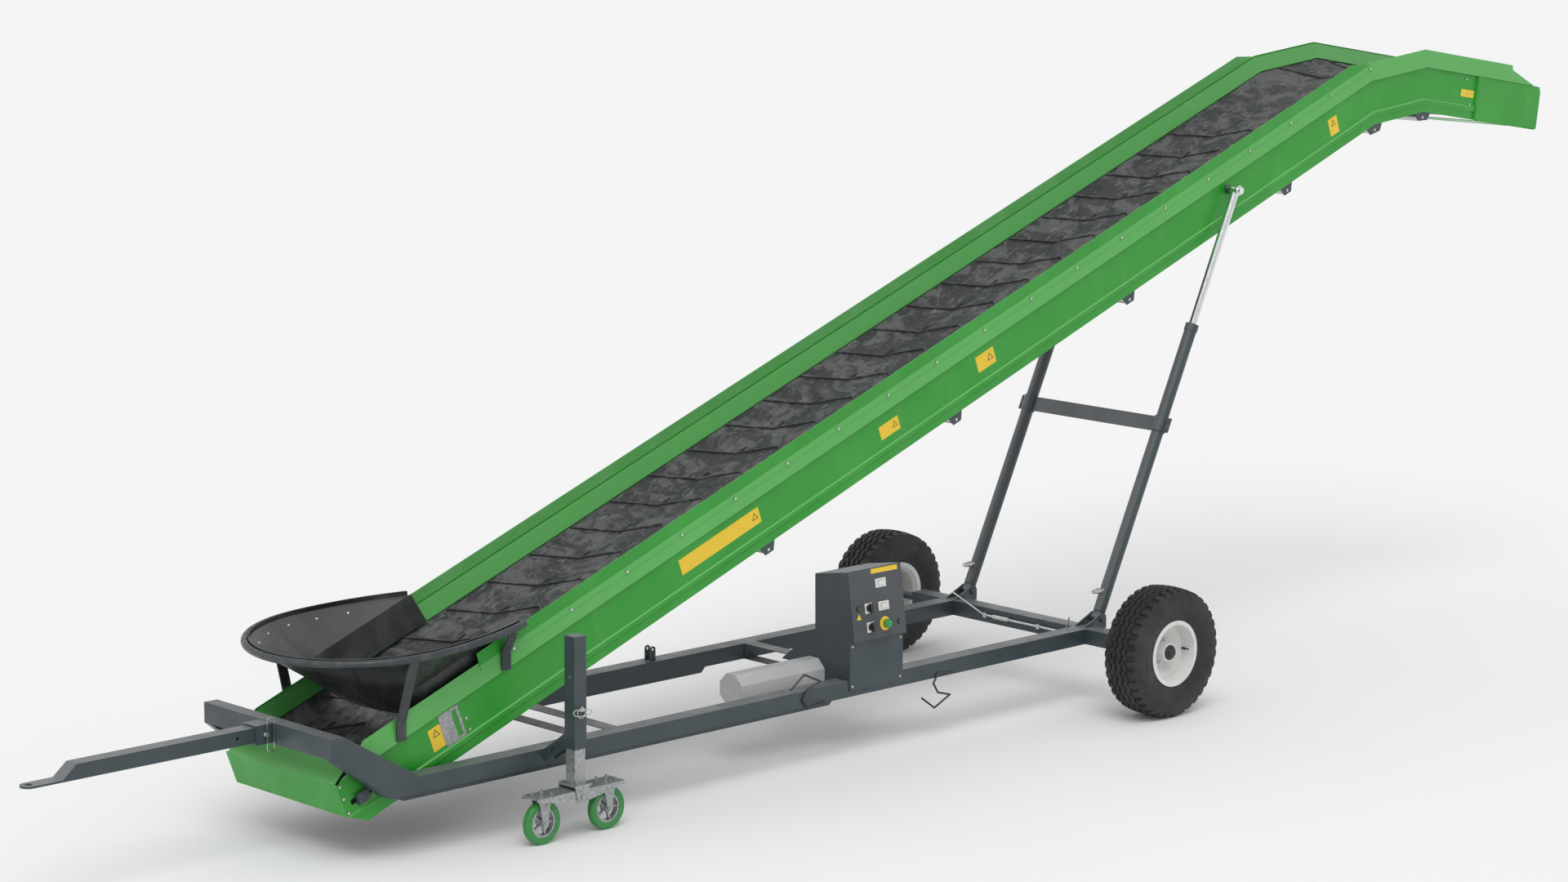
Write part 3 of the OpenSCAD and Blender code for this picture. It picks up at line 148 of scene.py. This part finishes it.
green = Finish("green_enamel", (0.010, 0.285, 0.012), 0.36, coat=0.2)
green.cover((0.030, 0.35, 0.030), green.noise(2.2, 6).between(0.42, 0.72) * 0.55)
green.cover((0.012, 0.20, 0.014), green.noise(34, 5).between(0.60, 0.78) * 0.3)
green.cover((0.16, 0.36, 0.14), green.noise(11, 4, stretch=(1, 1, 0.12)).between(0.55, 0.80) * 0.18)
# Painted light: faces tilted a little up are painted lighter green, faces turned further up lighter still.
green.cover((0.17, 0.50, 0.16), green.facing_up().between(0.04, 0.15) * 0.50)
green.cover((0.22, 0.54, 0.20), green.facing_up().between(0.30, 0.85) * 0.30)
green.gloss(green.noise(5, 5).between(0.30, 0.75, 0.32, 0.54))
green.relief(green.noise(260, 2) * 0.00025 + green.noise(3.5, 2) * 0.002)
dress(green, "near_wall", "far_wall", "near_board", "inner_skirts", "belt_bed", "cross_ties", "tail_cover",
      "head_hood")

# The far board wears a lighter copy of the green enamel, painted light for its lit inner face.
lit_board_green = Finish("lit_board_enamel", (0.11, 0.42, 0.11), 0.46)
lit_board_green.cover((0.20, 0.50, 0.19), lit_board_green.noise(3, 6).between(0.40, 0.75) * 0.5)
lit_board_green.cover((0.05, 0.26, 0.05), lit_board_green.noise(24, 5, stretch=(1, 1, 0.3)).between(0.60, 0.80) * 0.3)
lit_board_green.gloss(lit_board_green.noise(6, 5).between(0.30, 0.75, 0.40, 0.62))
lit_board_green.relief(lit_board_green.noise(260, 2) * 0.00025)
dress(lit_board_green, "far_board")


# ---------------------------------------------------------------- chassis paint
# Rails, beams, drawbar, console case and lift barrels wear a satin slate-grey enamel.
# Faces turned up are painted light grey as a painted highlight from the light above,
# and it is chipped in small spots along the edges.
slate = Finish("slate_enamel", (0.036, 0.052, 0.062), 0.40, coat=0.15)
slate.cover((0.050, 0.068, 0.079), slate.noise(3, 6).between(0.40, 0.75) * 0.6)
slate.cover((0.025, 0.032, 0.037), slate.noise(30, 5).between(0.60, 0.80) * 0.4)
# Painted highlight: faces turned up are painted light grey.
slate.cover((0.22, 0.225, 0.23), slate.facing_up().between(0.15, 0.60) * 0.60)
slate.cover((0.20, 0.19, 0.17), slate.noise(75, 4).between(0.70, 0.78) * 0.5)
slate.gloss(slate.noise(7, 5).between(0.3, 0.7, 0.36, 0.58))
slate.relief(slate.noise(300, 2) * 0.0002 + slate.noise(45, 3) * 0.0003)
dress(slate, "side_rails", "cross_members", "front_frame", "axle_beam", "leg_sleeve", "console_case",
      "drawbar", "boom_bearings", "prop_barrels", "prop_brace", "tail_drum", "head_drum", "roller_brackets")


# ---------------------------------------------------------------- hopper
# Black enamelled sheets in a tube rim, scuffed pale inside by the grain that slides down,
# with faces turned up painted a lighter grey as painted top light.
# The sheets overlap at riveted seams below the rim.
black = Finish("black_enamel", (0.012, 0.013, 0.015), 0.34, coat=0.1)
black.cover((0.075, 0.076, 0.078), black.noise(2.6, 7, distortion=0.6).between(0.40, 0.70) * 0.75)
# Painted top light: faces turned up are painted a lighter grey.
black.cover((0.10, 0.10, 0.10), black.facing_up().between(0.20, 0.80) * 0.55)
black.cover((0.20, 0.20, 0.19), black.noise(26, 5, stretch=(1, 1, 3)).between(0.66, 0.82) * 0.3)
black.gloss(black.noise(6, 5).between(0.3, 0.75, 0.26, 0.52))
black.relief(black.noise(5, 2) * 0.0015 + black.noise(240, 2) * 0.0001)
dress(black, "hopper_panels", "cable_hooks")

rim_paint = Finish("rim_enamel", (0.028, 0.036, 0.042), 0.36, coat=0.1)
rim_paint.cover((0.09, 0.10, 0.105), rim_paint.noise(14, 6).between(0.45, 0.80) * 0.6)
rim_paint.gloss(rim_paint.noise(20, 4).between(0.3, 0.7, 0.30, 0.52))
rim_paint.relief(rim_paint.noise(220, 3) * 0.0002)
dress(rim_paint, "hopper_rim", "hopper_legs")


# ---------------------------------------------------------------- galvanised parts
# The support leg, its bogie and forks and the slotted plates are hot-dip galvanised,
# with the broken grain of zinc and a dull bloom in patches.
zinc = Finish("galvanised_steel", (0.34, 0.35, 0.36), 0.42, metallic=0.85)
zinc.cover((0.55, 0.56, 0.57), zinc.grains(90).between(0.1, 0.7) * 0.6)
zinc.cover((0.16, 0.165, 0.17), zinc.noise(60, 6).between(0.48, 0.72) * 0.7)
zinc.cover((0.42, 0.38, 0.32), zinc.noise(22, 5).between(0.68, 0.80) * 0.3)
zinc.gloss(zinc.grains(70).between(0.0, 0.8, 0.36, 0.60))
zinc.relief(zinc.noise(160, 3) * 0.0006)
dress(zinc, "inner_leg", "leg_saddle", "bogie", "castor_forks", "slot_plates", "castor_hub_front",
      "castor_hub_rear")


# ---------------------------------------------------------------- plated and chromed steel
# Pins, bolts, the oil pipe and the return rollers are bright zinc plated.
# The lift rods are hard chrome with fine scratches along their stroke.
plated = Finish("zinc_plated_steel", (0.60, 0.61, 0.60), 0.30, metallic=1.0)
plated.cover((0.38, 0.37, 0.35), plated.noise(30, 5).between(0.50, 0.80) * 0.5)
plated.gloss(plated.noise(40, 4).between(0.3, 0.7, 0.22, 0.45))
plated.relief(plated.noise(240, 2) * 0.0001)
dress(plated, "drawbar_pin", "leg_pin", "boom_bolts", "hydraulic_line",
      *["return_roller_%d" % (i + 1) for i in range(6)])

chrome = Finish("hard_chrome", (0.80, 0.81, 0.83), 0.10, metallic=1.0)
chrome.cover((0.62, 0.63, 0.65), chrome.noise(20, 4).between(0.45, 0.75) * 0.35)
chrome.gloss(chrome.noise(90, 3, stretch=(1, 1, 0.1)).between(0.35, 0.75, 0.08, 0.22))
chrome.relief(chrome.noise(400, 2) * 0.00002)
dress(chrome, "prop_rods")


# ---------------------------------------------------------------- belt
# A worn black rubber belt, pale with grain dust in blotches and darker in scraped patches.
# The cleats stand out lighter, because the dust stays in their corners.
rubber_belt = Finish("belt_rubber", (0.030, 0.031, 0.033), 0.58)
blotches = rubber_belt.noise(4.2, 8, distortion=1.2)
rubber_belt.cover((0.105, 0.107, 0.111), blotches.between(0.45, 0.58) * 0.85)
rubber_belt.cover((0.17, 0.172, 0.178), rubber_belt.noise(15, 6, distortion=1.5).between(0.60, 0.74) * 0.5)
rubber_belt.cover((0.014, 0.014, 0.016), rubber_belt.noise(9, 7, distortion=0.8).between(0.54, 0.70) * 0.75)
scratches = rubber_belt.noise(38, 8, stretch=(0.35, 1.6, 0.35), distortion=0.8)
rubber_belt.cover((0.20, 0.202, 0.207), scratches.between(0.56, 0.66) * 0.6)
scrapes = rubber_belt.noise(30, 7, stretch=(0.5, 1.4, 0.5), distortion=1.0)
rubber_belt.cover((0.012, 0.012, 0.013), scrapes.between(0.57, 0.66) * 0.75)
rubber_belt.gloss(blotches.between(0.30, 0.70, 0.46, 0.74))
rubber_belt.relief(rubber_belt.noise(180, 4) * 0.0006 + blotches * 0.002)
dress(rubber_belt, "belt")

cleat_rubber = Finish("cleat_rubber", (0.040, 0.041, 0.043), 0.52)
cleat_rubber.cover((0.15, 0.152, 0.157), cleat_rubber.noise(14, 5).between(0.46, 0.72) * 0.7)
cleat_rubber.cover((0.030, 0.030, 0.032), cleat_rubber.noise(50, 4).between(0.58, 0.75) * 0.5)
cleat_rubber.gloss(cleat_rubber.noise(20, 4).between(0.3, 0.7, 0.42, 0.68))
cleat_rubber.relief(cleat_rubber.noise(200, 3) * 0.0004)
dress(cleat_rubber, "belt_cleats")


# ---------------------------------------------------------------- castors
# Two green cast tyres on spoked alloy hubs, dusty on the tread.
castor_tyre = Finish("castor_polyurethane", (0.030, 0.24, 0.050), 0.46)
castor_tyre.cover((0.16, 0.28, 0.15), castor_tyre.noise(16, 6).between(0.45, 0.75) * 0.5)
castor_tyre.gloss(castor_tyre.noise(25, 4).between(0.3, 0.7, 0.38, 0.62))
castor_tyre.relief(castor_tyre.noise(160, 3) * 0.0003)
dress(castor_tyre, "castor_tyre_front", "castor_tyre_rear")


# ---------------------------------------------------------------- road wheels
# Dished steel rims in white enamel, with brown dirt in the dish, a black hub cap and a
# rubber valve, and block-treaded flotation tyres whose rubber is grey with dust.
rim_white = Finish("white_enamel", (0.72, 0.72, 0.71), 0.34, coat=0.15)
rim_white.cover((0.42, 0.39, 0.34), rim_white.noise(9, 6).between(0.55, 0.80) * 0.40)
rim_white.cover((0.60, 0.59, 0.57), rim_white.noise(3, 4).between(0.40, 0.70) * 0.45)
rim_white.gloss(rim_white.noise(14, 4).between(0.3, 0.7, 0.30, 0.50))
rim_white.relief(rim_white.noise(150, 2) * 0.0002)
dress(rim_white, "near_wheel", "far_wheel")

tyre_rubber = Finish("tyre_rubber", (0.016, 0.016, 0.017), 0.60)
tyre_rubber.cover((0.052, 0.050, 0.048), tyre_rubber.noise(5, 6).between(0.45, 0.75) * 0.7)
tyre_rubber.cover((0.13, 0.12, 0.11), tyre_rubber.noise(24, 5).between(0.62, 0.80) * 0.4)
tyre_rubber.gloss(tyre_rubber.noise(20, 4).between(0.3, 0.7, 0.50, 0.74))
tyre_rubber.relief(tyre_rubber.noise(220, 3) * 0.0004)

black_plastic = Finish("black_plastic", (0.018, 0.018, 0.020), 0.36)
black_plastic.cover((0.060, 0.060, 0.062), black_plastic.noise(60, 4).between(0.50, 0.80) * 0.4)
black_plastic.relief(black_plastic.noise(500, 2) * 0.00005)


def add_piece(name, mesh, finish, body, sharp=38, bevel=0.0):
    """Makes a shaded object of a bmesh that rides on a body and takes a finish."""
    data = bpy.data.meshes.new(name)
    bmesh.ops.recalc_face_normals(mesh, faces=mesh.faces)
    mesh.to_mesh(data)
    mesh.free()
    data.materials.append(finish.material)
    data.shade_smooth()
    data.set_sharp_from_angle(angle=math.radians(sharp))
    made = bpy.data.objects.new(name, data)
    bpy.context.scene.collection.objects.link(made)
    if bevel:
        edge = made.modifiers.new("edge", "BEVEL")
        edge.width = bevel
        edge.segments = 2
        edge.limit_method = "ANGLE"
    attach(made, body)
    return made


def turned(mesh, profile, place, steps=48):
    """Turns a list of (radius, height) about the z axis of a place, closed at both ends."""
    rings = []
    for radius, height in profile:
        angles = [2 * math.pi * i / steps for i in range(steps)]
        rings.append([mesh.verts.new(place @ Vector((radius * math.cos(a), radius * math.sin(a), height)))
                      for a in angles])
    for low, high in zip(rings, rings[1:]):
        for i in range(steps):
            mesh.faces.new((low[i - 1], low[i], high[i], high[i - 1]))
    mesh.faces.new(rings[0])
    mesh.faces.new(rings[-1])


def tyre_mesh(centre, radius, half, bead, blocks=36, fine=12):
    """One closed skin: crowned tread with zig-zag grooves, cut shoulders, ringed sidewalls."""
    mesh = bmesh.new()
    around = blocks * fine
    tread, shoulder = 0.46, 0.58
    crown, groove = 0.010, 0.014
    rows = []
    across = 84
    for j in range(across + 1):
        s = 2 * j / across - 1
        e = abs(s)
        row = []
        for i in range(around):
            phase = (i % fine) / fine
            block = phase < 0.34 if s > 0 else 0.5 <= phase < 0.84
            if e < tread:
                w = s / tread
                zigzag = 0.05 * (1 if phase < 0.5 else -1)
                y = w * half * 0.82
                r = radius - crown * w * w
                in_groove = min(abs(w - g - zigzag) for g in (-0.58, -0.2, 0.2, 0.58)) < 0.07
                if in_groove or (abs(w) > 0.72 and block):
                    r -= groove
            elif e < shoulder:
                k = (e - tread) / (shoulder - tread)
                y = half * (0.82 + 0.12 * k)
                r = radius - crown - 0.034 * k * k - (groove * (1 - k) if block else 0)
            else:
                k = (e - shoulder) / (1 - shoulder)
                y = half * (0.94 + 0.055 * math.sin(math.pi * min(1.4 * k, 1)) - 0.14 * max(0, k - 0.6) / 0.4)
                if min(abs(k - ring) for ring in (0.16, 0.28, 0.72, 0.86)) < 0.02:
                    y += 0.0018
                r = radius - crown - 0.034 - (radius - crown - 0.034 - bead) * k
            a = 2 * math.pi * i / around
            if e >= tread:
                y = math.copysign(min(y, half), s)
            row.append(mesh.verts.new(centre + Vector((r * math.cos(a), y, r * math.sin(a)))))
        rows.append(row)
    for low, high in zip(rows, rows[1:] + rows[:1]):
        for i in range(around):
            mesh.faces.new((low[i - 1], low[i], high[i], high[i - 1]))
    return mesh


for side, body in (("near", "near_road_wheel"), ("far", "far_road_wheel")):
    low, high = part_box(side + "_tyre")
    centre = (Vector(low) + Vector(high)) / 2
    outward = -1 if side == "near" else 1
    carcass = tyre_mesh(centre, (high[2] - low[2]) / 2, (high[1] - low[1]) / 2, 0.2165)
    tyre = add_piece(side + "_tyre_tread", carcass, tyre_rubber, body, sharp=30)
    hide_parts(side + "_tyre")
    face_out = Matrix.Translation(centre) @ Matrix.Rotation(-outward * math.pi / 2, 4, "X")
    cap = bmesh.new()
    turned(cap, [(0.049, 0.071), (0.049, 0.078), (0.046, 0.0825), (0.034, 0.086), (0.030, 0.0985),
                 (0.026, 0.1015), (0.002, 0.1025)], face_out)
    add_piece(side + "_hub_cap", cap, black_plastic, body)
    valve = bmesh.new()
    turned(valve, [(0.0075, 0.040), (0.0075, 0.068), (0.0045, 0.072), (0.0045, 0.084), (0.0055, 0.085),
                   (0.0055, 0.093)], face_out @ Matrix.Translation((0.158, 0, 0)), 20)
    add_piece(side + "_valve", valve, black_plastic, body)


# ---------------------------------------------------------------- console controls
# The panel is grey powder-coated sheet. Its switches sit on white plates, the stop button on
# a yellow disc, with two lamps, a blank warning triangle and a blank yellow plate at the top.
panel_paint = Finish("panel_powder_coat", (0.062, 0.070, 0.077), 0.48)
panel_paint.cover((0.088, 0.096, 0.104), panel_paint.noise(3, 5).between(0.40, 0.70) * 0.5)
panel_paint.cover((0.045, 0.051, 0.056), panel_paint.noise(26, 6).between(0.62, 0.80) * 0.4)
panel_paint.gloss(panel_paint.noise(12, 4).between(0.3, 0.7, 0.42, 0.60))
panel_paint.relief(panel_paint.noise(420, 2) * 0.0001)
dress(panel_paint, "console_panel")

stop_cap = Finish("stop_cap_plastic", (0.020, 0.26, 0.055), 0.22, coat=0.3)
stop_cap.cover((0.045, 0.34, 0.085), stop_cap.noise(30, 3).between(0.40, 0.70) * 0.4)
stop_cap.relief(stop_cap.noise(400, 2) * 0.00004)
dress(stop_cap, "emergency_stop")
dress(black_plastic, "rotary_switch_upper", "rotary_switch_lower")

white_plastic = Finish("white_plastic", (0.70, 0.70, 0.68), 0.40)
white_plastic.cover((0.55, 0.54, 0.51), white_plastic.noise(40, 4).between(0.50, 0.80) * 0.4)
white_plastic.relief(white_plastic.noise(420, 2) * 0.00004)
dress(white_plastic, "rocker_upper", "rocker_lower")

yellow = Finish("yellow_plate", (0.82, 0.55, 0.025), 0.42)
yellow.cover((0.68, 0.44, 0.025), yellow.noise(30, 4).between(0.50, 0.75) * 0.4)
yellow.relief(yellow.noise(300, 2) * 0.00004)

lamp_green = Finish("green_lens", (0.010, 0.075, 0.022), 0.14, coat=0.5)
lamp_green.cover((0.020, 0.12, 0.035), lamp_green.noise(200, 2).between(0.40, 0.60) * 0.4)

lean = math.radians(8.07)
panel_low, panel_high = (Vector(corner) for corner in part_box("console_panel"))
plate_t = 0.004
face_y = panel_low.y + (panel_high.z - panel_low.z - plate_t * math.sin(lean)) * math.tan(lean)
panel_frame = Matrix.Translation((panel_low.x - 0.002, face_y, panel_high.z)) @ Matrix(
    ((1, 0, 0, 0), (0, math.sin(lean), -math.cos(lean), 0), (0, math.cos(lean), math.sin(lean), 0),
     (0, 0, 0, 1)))


def on_panel(across, down):
    """A place on the panel's face: x to the right, y up the face, z out of it."""
    return panel_frame @ Matrix.Translation((across, 0.004 - down, 0))


def block(mesh, low, high, place):
    """A rectangular block between two corners, in the frame of a place."""
    cube = bmesh.ops.create_cube(mesh, size=1.0)
    middle = (Vector(low) + Vector(high)) / 2
    size = Vector(high) - Vector(low)
    for vert in cube["verts"]:
        vert.co = place @ Vector([middle[i] + vert.co[i] * size[i] for i in range(3)])


trims = []
for i, (across, down) in enumerate(((0.150, 0.243), (0.154, 0.361))):
    plate = bmesh.new()
    block(plate, (-0.032, -0.032, 0.0002), (0.032, 0.032, 0.0025), on_panel(across, down))
    trims.append(add_piece("switch_plate_%d" % (i + 1), plate, white_plastic, "chassis",
                           bevel=0.001))
    marks = bmesh.new()
    for turn in (-60, 0, 60):
        block(marks, (-0.0012, 0.0250, 0.0022), (0.0012, 0.0295, 0.0029),
              on_panel(across, down) @ Matrix.Rotation(math.radians(turn), 4, "Z"))
    trims.append(add_piece("switch_marks_%d" % (i + 1), marks, black_plastic, "chassis"))
for i, (across, down) in enumerate(((0.271, 0.099), (0.281, 0.243))):
    bezel = bmesh.new()
    for low, high in (((-0.045, 0.0165), (0.045, 0.028)), ((-0.045, -0.028), (0.045, -0.0165)),
                      ((-0.045, -0.0165), (-0.0245, 0.0165)), ((0.0245, -0.0165), (0.045, 0.0165))):
        block(bezel, (*low, 0.0002), (*high, 0.0036), on_panel(across, down))
    trims.append(add_piece("push_bezel_%d" % (i + 1), bezel, white_plastic, "chassis",
                           bevel=0.0008))
disc = bmesh.new()
turned(disc, [(0.0440, 0.0002), (0.0440, 0.0018), (0.0430, 0.0025), (0.0140, 0.0025), (0.0120, 0.0002)],
       on_panel(0.281, 0.355))
trims.append(add_piece("stop_disc", disc, yellow, "chassis"))
plate = bmesh.new()
block(plate, (-0.115, -0.015, 0.0002), (0.115, 0.015, 0.0015), on_panel(0.311, 0.021))
trims.append(add_piece("title_plate", plate, yellow, "chassis", bevel=0.0005))
triangle = bmesh.new()
turned(triangle, [(0.023, 0.0002), (0.023, 0.0010), (0.0225, 0.0014)],
       on_panel(0.062, 0.292) @ Matrix.Rotation(math.pi / 2, 4, "Z"), 3)
trims.append(add_piece("warning_triangle", triangle, yellow, "chassis", sharp=20))
for i, (across, down) in enumerate(((0.062, 0.236), (0.403, 0.358))):
    ring = bmesh.new()
    turned(ring, [(0.0170, 0.0002), (0.0170, 0.0035), (0.0150, 0.0045), (0.0112, 0.0045)],
           on_panel(across, down))
    trims.append(add_piece("lamp_ring_%d" % (i + 1), ring, black_plastic, "chassis"))
    lens = bmesh.new()
    turned(lens, [(0.0110, 0.0046), (0.0110, 0.0090), (0.0090, 0.0118), (0.0050, 0.0130), (0.0008, 0.0134)],
           on_panel(across, down), 32)
    trims.append(add_piece("lamp_lens_%d" % (i + 1), lens, lamp_green, "chassis"))
for i, (x, z) in enumerate(((0.022, 0.692), (0.440, 0.692), (0.022, 0.441), (0.440, 0.441))):
    screw = bmesh.new()
    turned(screw, [(0.0085, 0.0002), (0.0085, 0.0020), (0.0060, 0.0040), (0.0008, 0.0046)],
           Matrix.Translation((panel_low.x - 0.002 + x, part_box("console_case")[0][1] + 0.0300, z))
           @ Matrix.Rotation(math.pi / 2, 4, "X"), 24)
    trims.append(add_piece("case_screw_%d" % (i + 1), screw, plated, "chassis"))
for trim in trims:
    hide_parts("console_trim")


# ---------------------------------------------------------------- pump cover
# An eight-sided cover in light grey powder coat, handled and dusty.
cover_paint = Finish("cover_powder_coat", (0.50, 0.51, 0.52), 0.5)
cover_paint.cover((0.64, 0.65, 0.66), cover_paint.noise(3, 5).between(0.40, 0.70) * 0.5)
cover_paint.cover((0.25, 0.26, 0.26), cover_paint.noise(16, 6).between(0.62, 0.80) * 0.35)
cover_paint.gloss(cover_paint.noise(12, 4).between(0.3, 0.7, 0.42, 0.62))
cover_paint.relief(cover_paint.noise(420, 2) * 0.0001)
dress(cover_paint, "pump_cover")


# ---------------------------------------------------------------- hopper rivets
# Domed rivets hold the hopper sheets: a row under the rim and a column down each seam at the
# front corners. Each is set where a line from the middle of the hopper meets the sheet.
panels = nodes["hopper_panels"].data
sheet_tree = BVHTree.FromPolygons([v.co for v in panels.vertices],
                                  [list(p.vertices) for p in panels.polygons])
rim_low = Vector(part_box("hopper_rim")[0])
rim_reach = 0.711
hopper_middle = Vector((rim_low.x + rim_reach, 0, 0))


def rivets(name, spots):
    """Rivet heads at (degrees round from the front, height above the floor)."""
    heads = bmesh.new()
    for degrees, height in spots:
        a = math.radians(degrees)
        start = Vector((hopper_middle.x, 0, height))
        hit, normal = sheet_tree.ray_cast(start, Vector((-math.cos(a), math.sin(a), 0)))[:2]
        if hit is None:
            continue
        facing = normal if normal.dot(start - hit) > 0 else -normal
        turned(heads, [(0.0095, 0.0001), (0.0090, 0.0022), (0.0065, 0.0042), (0.0025, 0.0052)],
               Matrix.Translation(hit) @ facing.to_track_quat("Z", "Y").to_matrix().to_4x4(), 12)
    add_piece(name, heads, plated, "boom")


rim_height = rim_low.z + 0.02
rivets("rim_rivets", [(degrees, rim_height - 0.035 + 0.035 * max(0, abs(degrees) - 40) / 60)
                      for degrees in (-118, -100, -82, -64, -46, 46, 64, 82, 100, 118)])
rivets("seam_rivets", [(side * 33, rim_height - drop) for side in (-1, 1) for drop in (0.07, 0.14, 0.21)])


# ---------------------------------------------------------------- leg pin loop
# The lock pin of the support leg has a sprung wire loop that snaps round the square sleeve.
pin_low, pin_high = (Vector(corner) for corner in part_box("leg_pin"))
pin_middle = (pin_low + pin_high) / 2


def wire(name, points, radius, finish, body):
    """A bent wire through a closed ring of points, as a curve object of its own."""
    curve = bpy.data.curves.new(name, "CURVE")
    curve.dimensions = "3D"
    curve.bevel_depth = radius
    curve.bevel_resolution = 3
    spline = curve.splines.new("NURBS")
    spline.points.add(len(points) - 1)
    for knot, point in zip(spline.points, points):
        knot.co = (*point, 1)
    spline.use_cyclic_u = True
    spline.order_u = 3
    curve.materials.append(finish.material)
    made = bpy.data.objects.new(name, curve)
    bpy.context.scene.collection.objects.link(made)
    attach(made, body)


wire("leg_pin_loop", [(pin_middle.x + dx, pin_low.y + dy, pin_middle.z + dz) for dx, dy, dz in (
    (-0.052, 0.010, -0.004), (-0.062, 0.005, 0.010), (-0.045, 0.004, 0.024), (0.030, 0.004, 0.020),
    (0.075, 0.004, 0.008), (0.080, 0.006, -0.012), (0.060, 0.008, -0.022), (-0.035, 0.010, -0.018))],
     0.0032, plated, "leg_lock")


# ---------------------------------------------------------------- boom labels
# Thin yellow plates on the outside of the near wall, left blank apart from a plain warning
# triangle. They lie on the flat of the wall, above its pressed bead.
slope = math.radians(20.7)
wall_top, wall_lip, plate_out = 0.436, 0.018, 0.0006
wall_low = Vector(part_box("near_wall")[0])
wall_foot = Vector((wall_low.x + wall_top * math.sin(slope), wall_low.y + wall_lip, wall_low.z))


def on_wall(along, up, turn=0.0):
    """A place on the near wall: x along the boom, y up the wall, z out of it."""
    foot = wall_foot + Vector((along * math.cos(slope) - up * math.sin(slope), 0,
                               along * math.sin(slope) + up * math.cos(slope)))
    return (Matrix.Translation(foot) @ Matrix.Rotation(-slope - turn, 4, "Y")
            @ Matrix.Rotation(math.pi / 2, 4, "X"))


labels = [(0.603, 0.098, 0.099, 0.138), (2.628, 0.136, 0.686, 0.100), (4.402, 0.126, 0.175, 0.089),
          (5.330, 0.132, 0.171, 0.107), (9.062, 0.098, 0.097, 0.123)]
for i, (along, up, length, height) in enumerate(labels):
    label = bmesh.new()
    middle = on_wall(along + length / 2, up + height / 2)
    block(label, (-length / 2, -height / 2, 0), (length / 2, height / 2, plate_out), middle)
    add_piece("wall_label_%d" % (i + 1), label, yellow, "boom")
    size = 0.30 * min(length, height)
    spot = middle @ Matrix.Translation((length / 2 - 1.4 * size if length > height else 0,
                                        height / 2 - 1.5 * size if height > length else 0, plate_out))
    for name, finish, scale, low in (("border", black_plastic, 1.0, 0), ("field", yellow, 0.68, 0.0003)):
        sign = bmesh.new()
        turned(sign, [(size * scale, low), (size * scale, low + 0.0003)],
               spot @ Matrix.Rotation(math.pi / 2, 4, "Z"), 3)
        add_piece("label_%s_%d" % (name, i + 1), sign, finish, "boom", sharp=20)

head_high = Vector(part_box("head_hood")[1])
head_slope = math.radians(8.7)
head_label_back, head_label_height = 0.877, 3.7515
head_label_x, head_label_y, face_gap = 0.076, 0.026, 0.0004
label = bmesh.new()
place = (Matrix.Translation((head_high.x - head_label_back, wall_foot.y - face_gap, head_label_height))
         @ Matrix.Rotation(head_slope, 4, "Y") @ Matrix.Rotation(math.pi / 2, 4, "X"))
block(label, (-head_label_x, -head_label_y, 0), (head_label_x, head_label_y, plate_out), place)
add_piece("head_label", label, yellow, "boom")


# ---------------------------------------------------------------- oil ports
# Each lift barrel has a screwed port above its foot with a bright elbow and a coupling nut.
barrel_angle = math.radians(64.37)
foot_radius, port_along, barrel_across = 0.031, 0.20, 0.586
foot_low = Vector(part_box("prop_barrels")[0])
foot_x = foot_low.x + foot_radius
foot_z = foot_low.z + foot_radius
for side, across in (("near", -barrel_across), ("far", barrel_across)):
    port = bmesh.new()
    root = Vector((foot_x + port_along * math.cos(barrel_angle), across,
                   foot_z + port_along * math.sin(barrel_angle)))
    out = Matrix.Translation(root) @ Matrix.Rotation(-math.pi / 2, 4, "Y")
    turned(port, [(0.017, 0.040), (0.017, 0.058), (0.012, 0.060), (0.012, 0.066), (0.019, 0.067),
                  (0.019, 0.092), (0.015, 0.095), (0.015, 0.120), (0.011, 0.123), (0.011, 0.135)], out, 24)
    add_piece(side + "_oil_port", port, plated, "barrels")


# ---------------------------------------------------------------- camera, floor and light
# A long lens from ahead of the drawbar on the near side, above the rails, over a pale floor.
# A broad key light comes from the front and above, a weaker fill from the far side, and an
# even white surround fills the rest.
camera = bpy.data.objects.new("camera", bpy.data.cameras.new("camera"))
bpy.context.scene.collection.objects.link(camera)
camera.data.lens = 87.636
camera.data.sensor_width = 36
camera.data.clip_end = 300
eye = Vector((-16.97755, -16.8934, 5.9428))
aim = Vector((-0.78985, 0, 1.8847))
camera.matrix_world = (Matrix.Translation(eye) @ (aim - eye).to_track_quat("-Z", "Y").to_matrix().to_4x4()
                       @ Matrix.Rotation(math.radians(0.341), 4, "Z"))
bpy.context.scene.camera = camera

floor_finish = Finish("studio_floor", (0.90, 0.90, 0.90), 0.8)
floor_finish.cover((0.87, 0.87, 0.87), floor_finish.noise(0.4, 2).between(0.3, 0.7) * 0.3)
floor_mesh = bmesh.new()
bmesh.ops.create_grid(floor_mesh, x_segments=1, y_segments=1, size=90,
                      matrix=Matrix.Translation((0, 0, -0.001)))
floor_data = bpy.data.meshes.new("floor")
floor_mesh.to_mesh(floor_data)
floor_data.materials.append(floor_finish.material)
floor = bpy.data.objects.new("floor", floor_data)
bpy.context.scene.collection.objects.link(floor)

studio = bpy.data.worlds.new("studio")
studio.use_nodes = True
studio.node_tree.nodes["Background"].inputs["Color"].default_value = (1.0, 1.0, 1.0, 1)
studio.node_tree.nodes["Background"].inputs["Strength"].default_value = 0.70
bpy.context.scene.world = studio
for name, place, spread, power in (("key", (-6, -7, 13), 40, 1.10), ("fill", (-9, 5, 6), 60, 0.30)):
    lamp = bpy.data.lights.new(name, "SUN")
    lamp.angle = math.radians(spread)
    lamp.energy = power
    light = bpy.data.objects.new(name, lamp)
    bpy.context.scene.collection.objects.link(light)
    light.location = place
    light.rotation_euler = (-Vector(place)).to_track_quat("-Z", "Y").to_euler()
bpy.context.scene.view_settings.view_transform = "Standard"
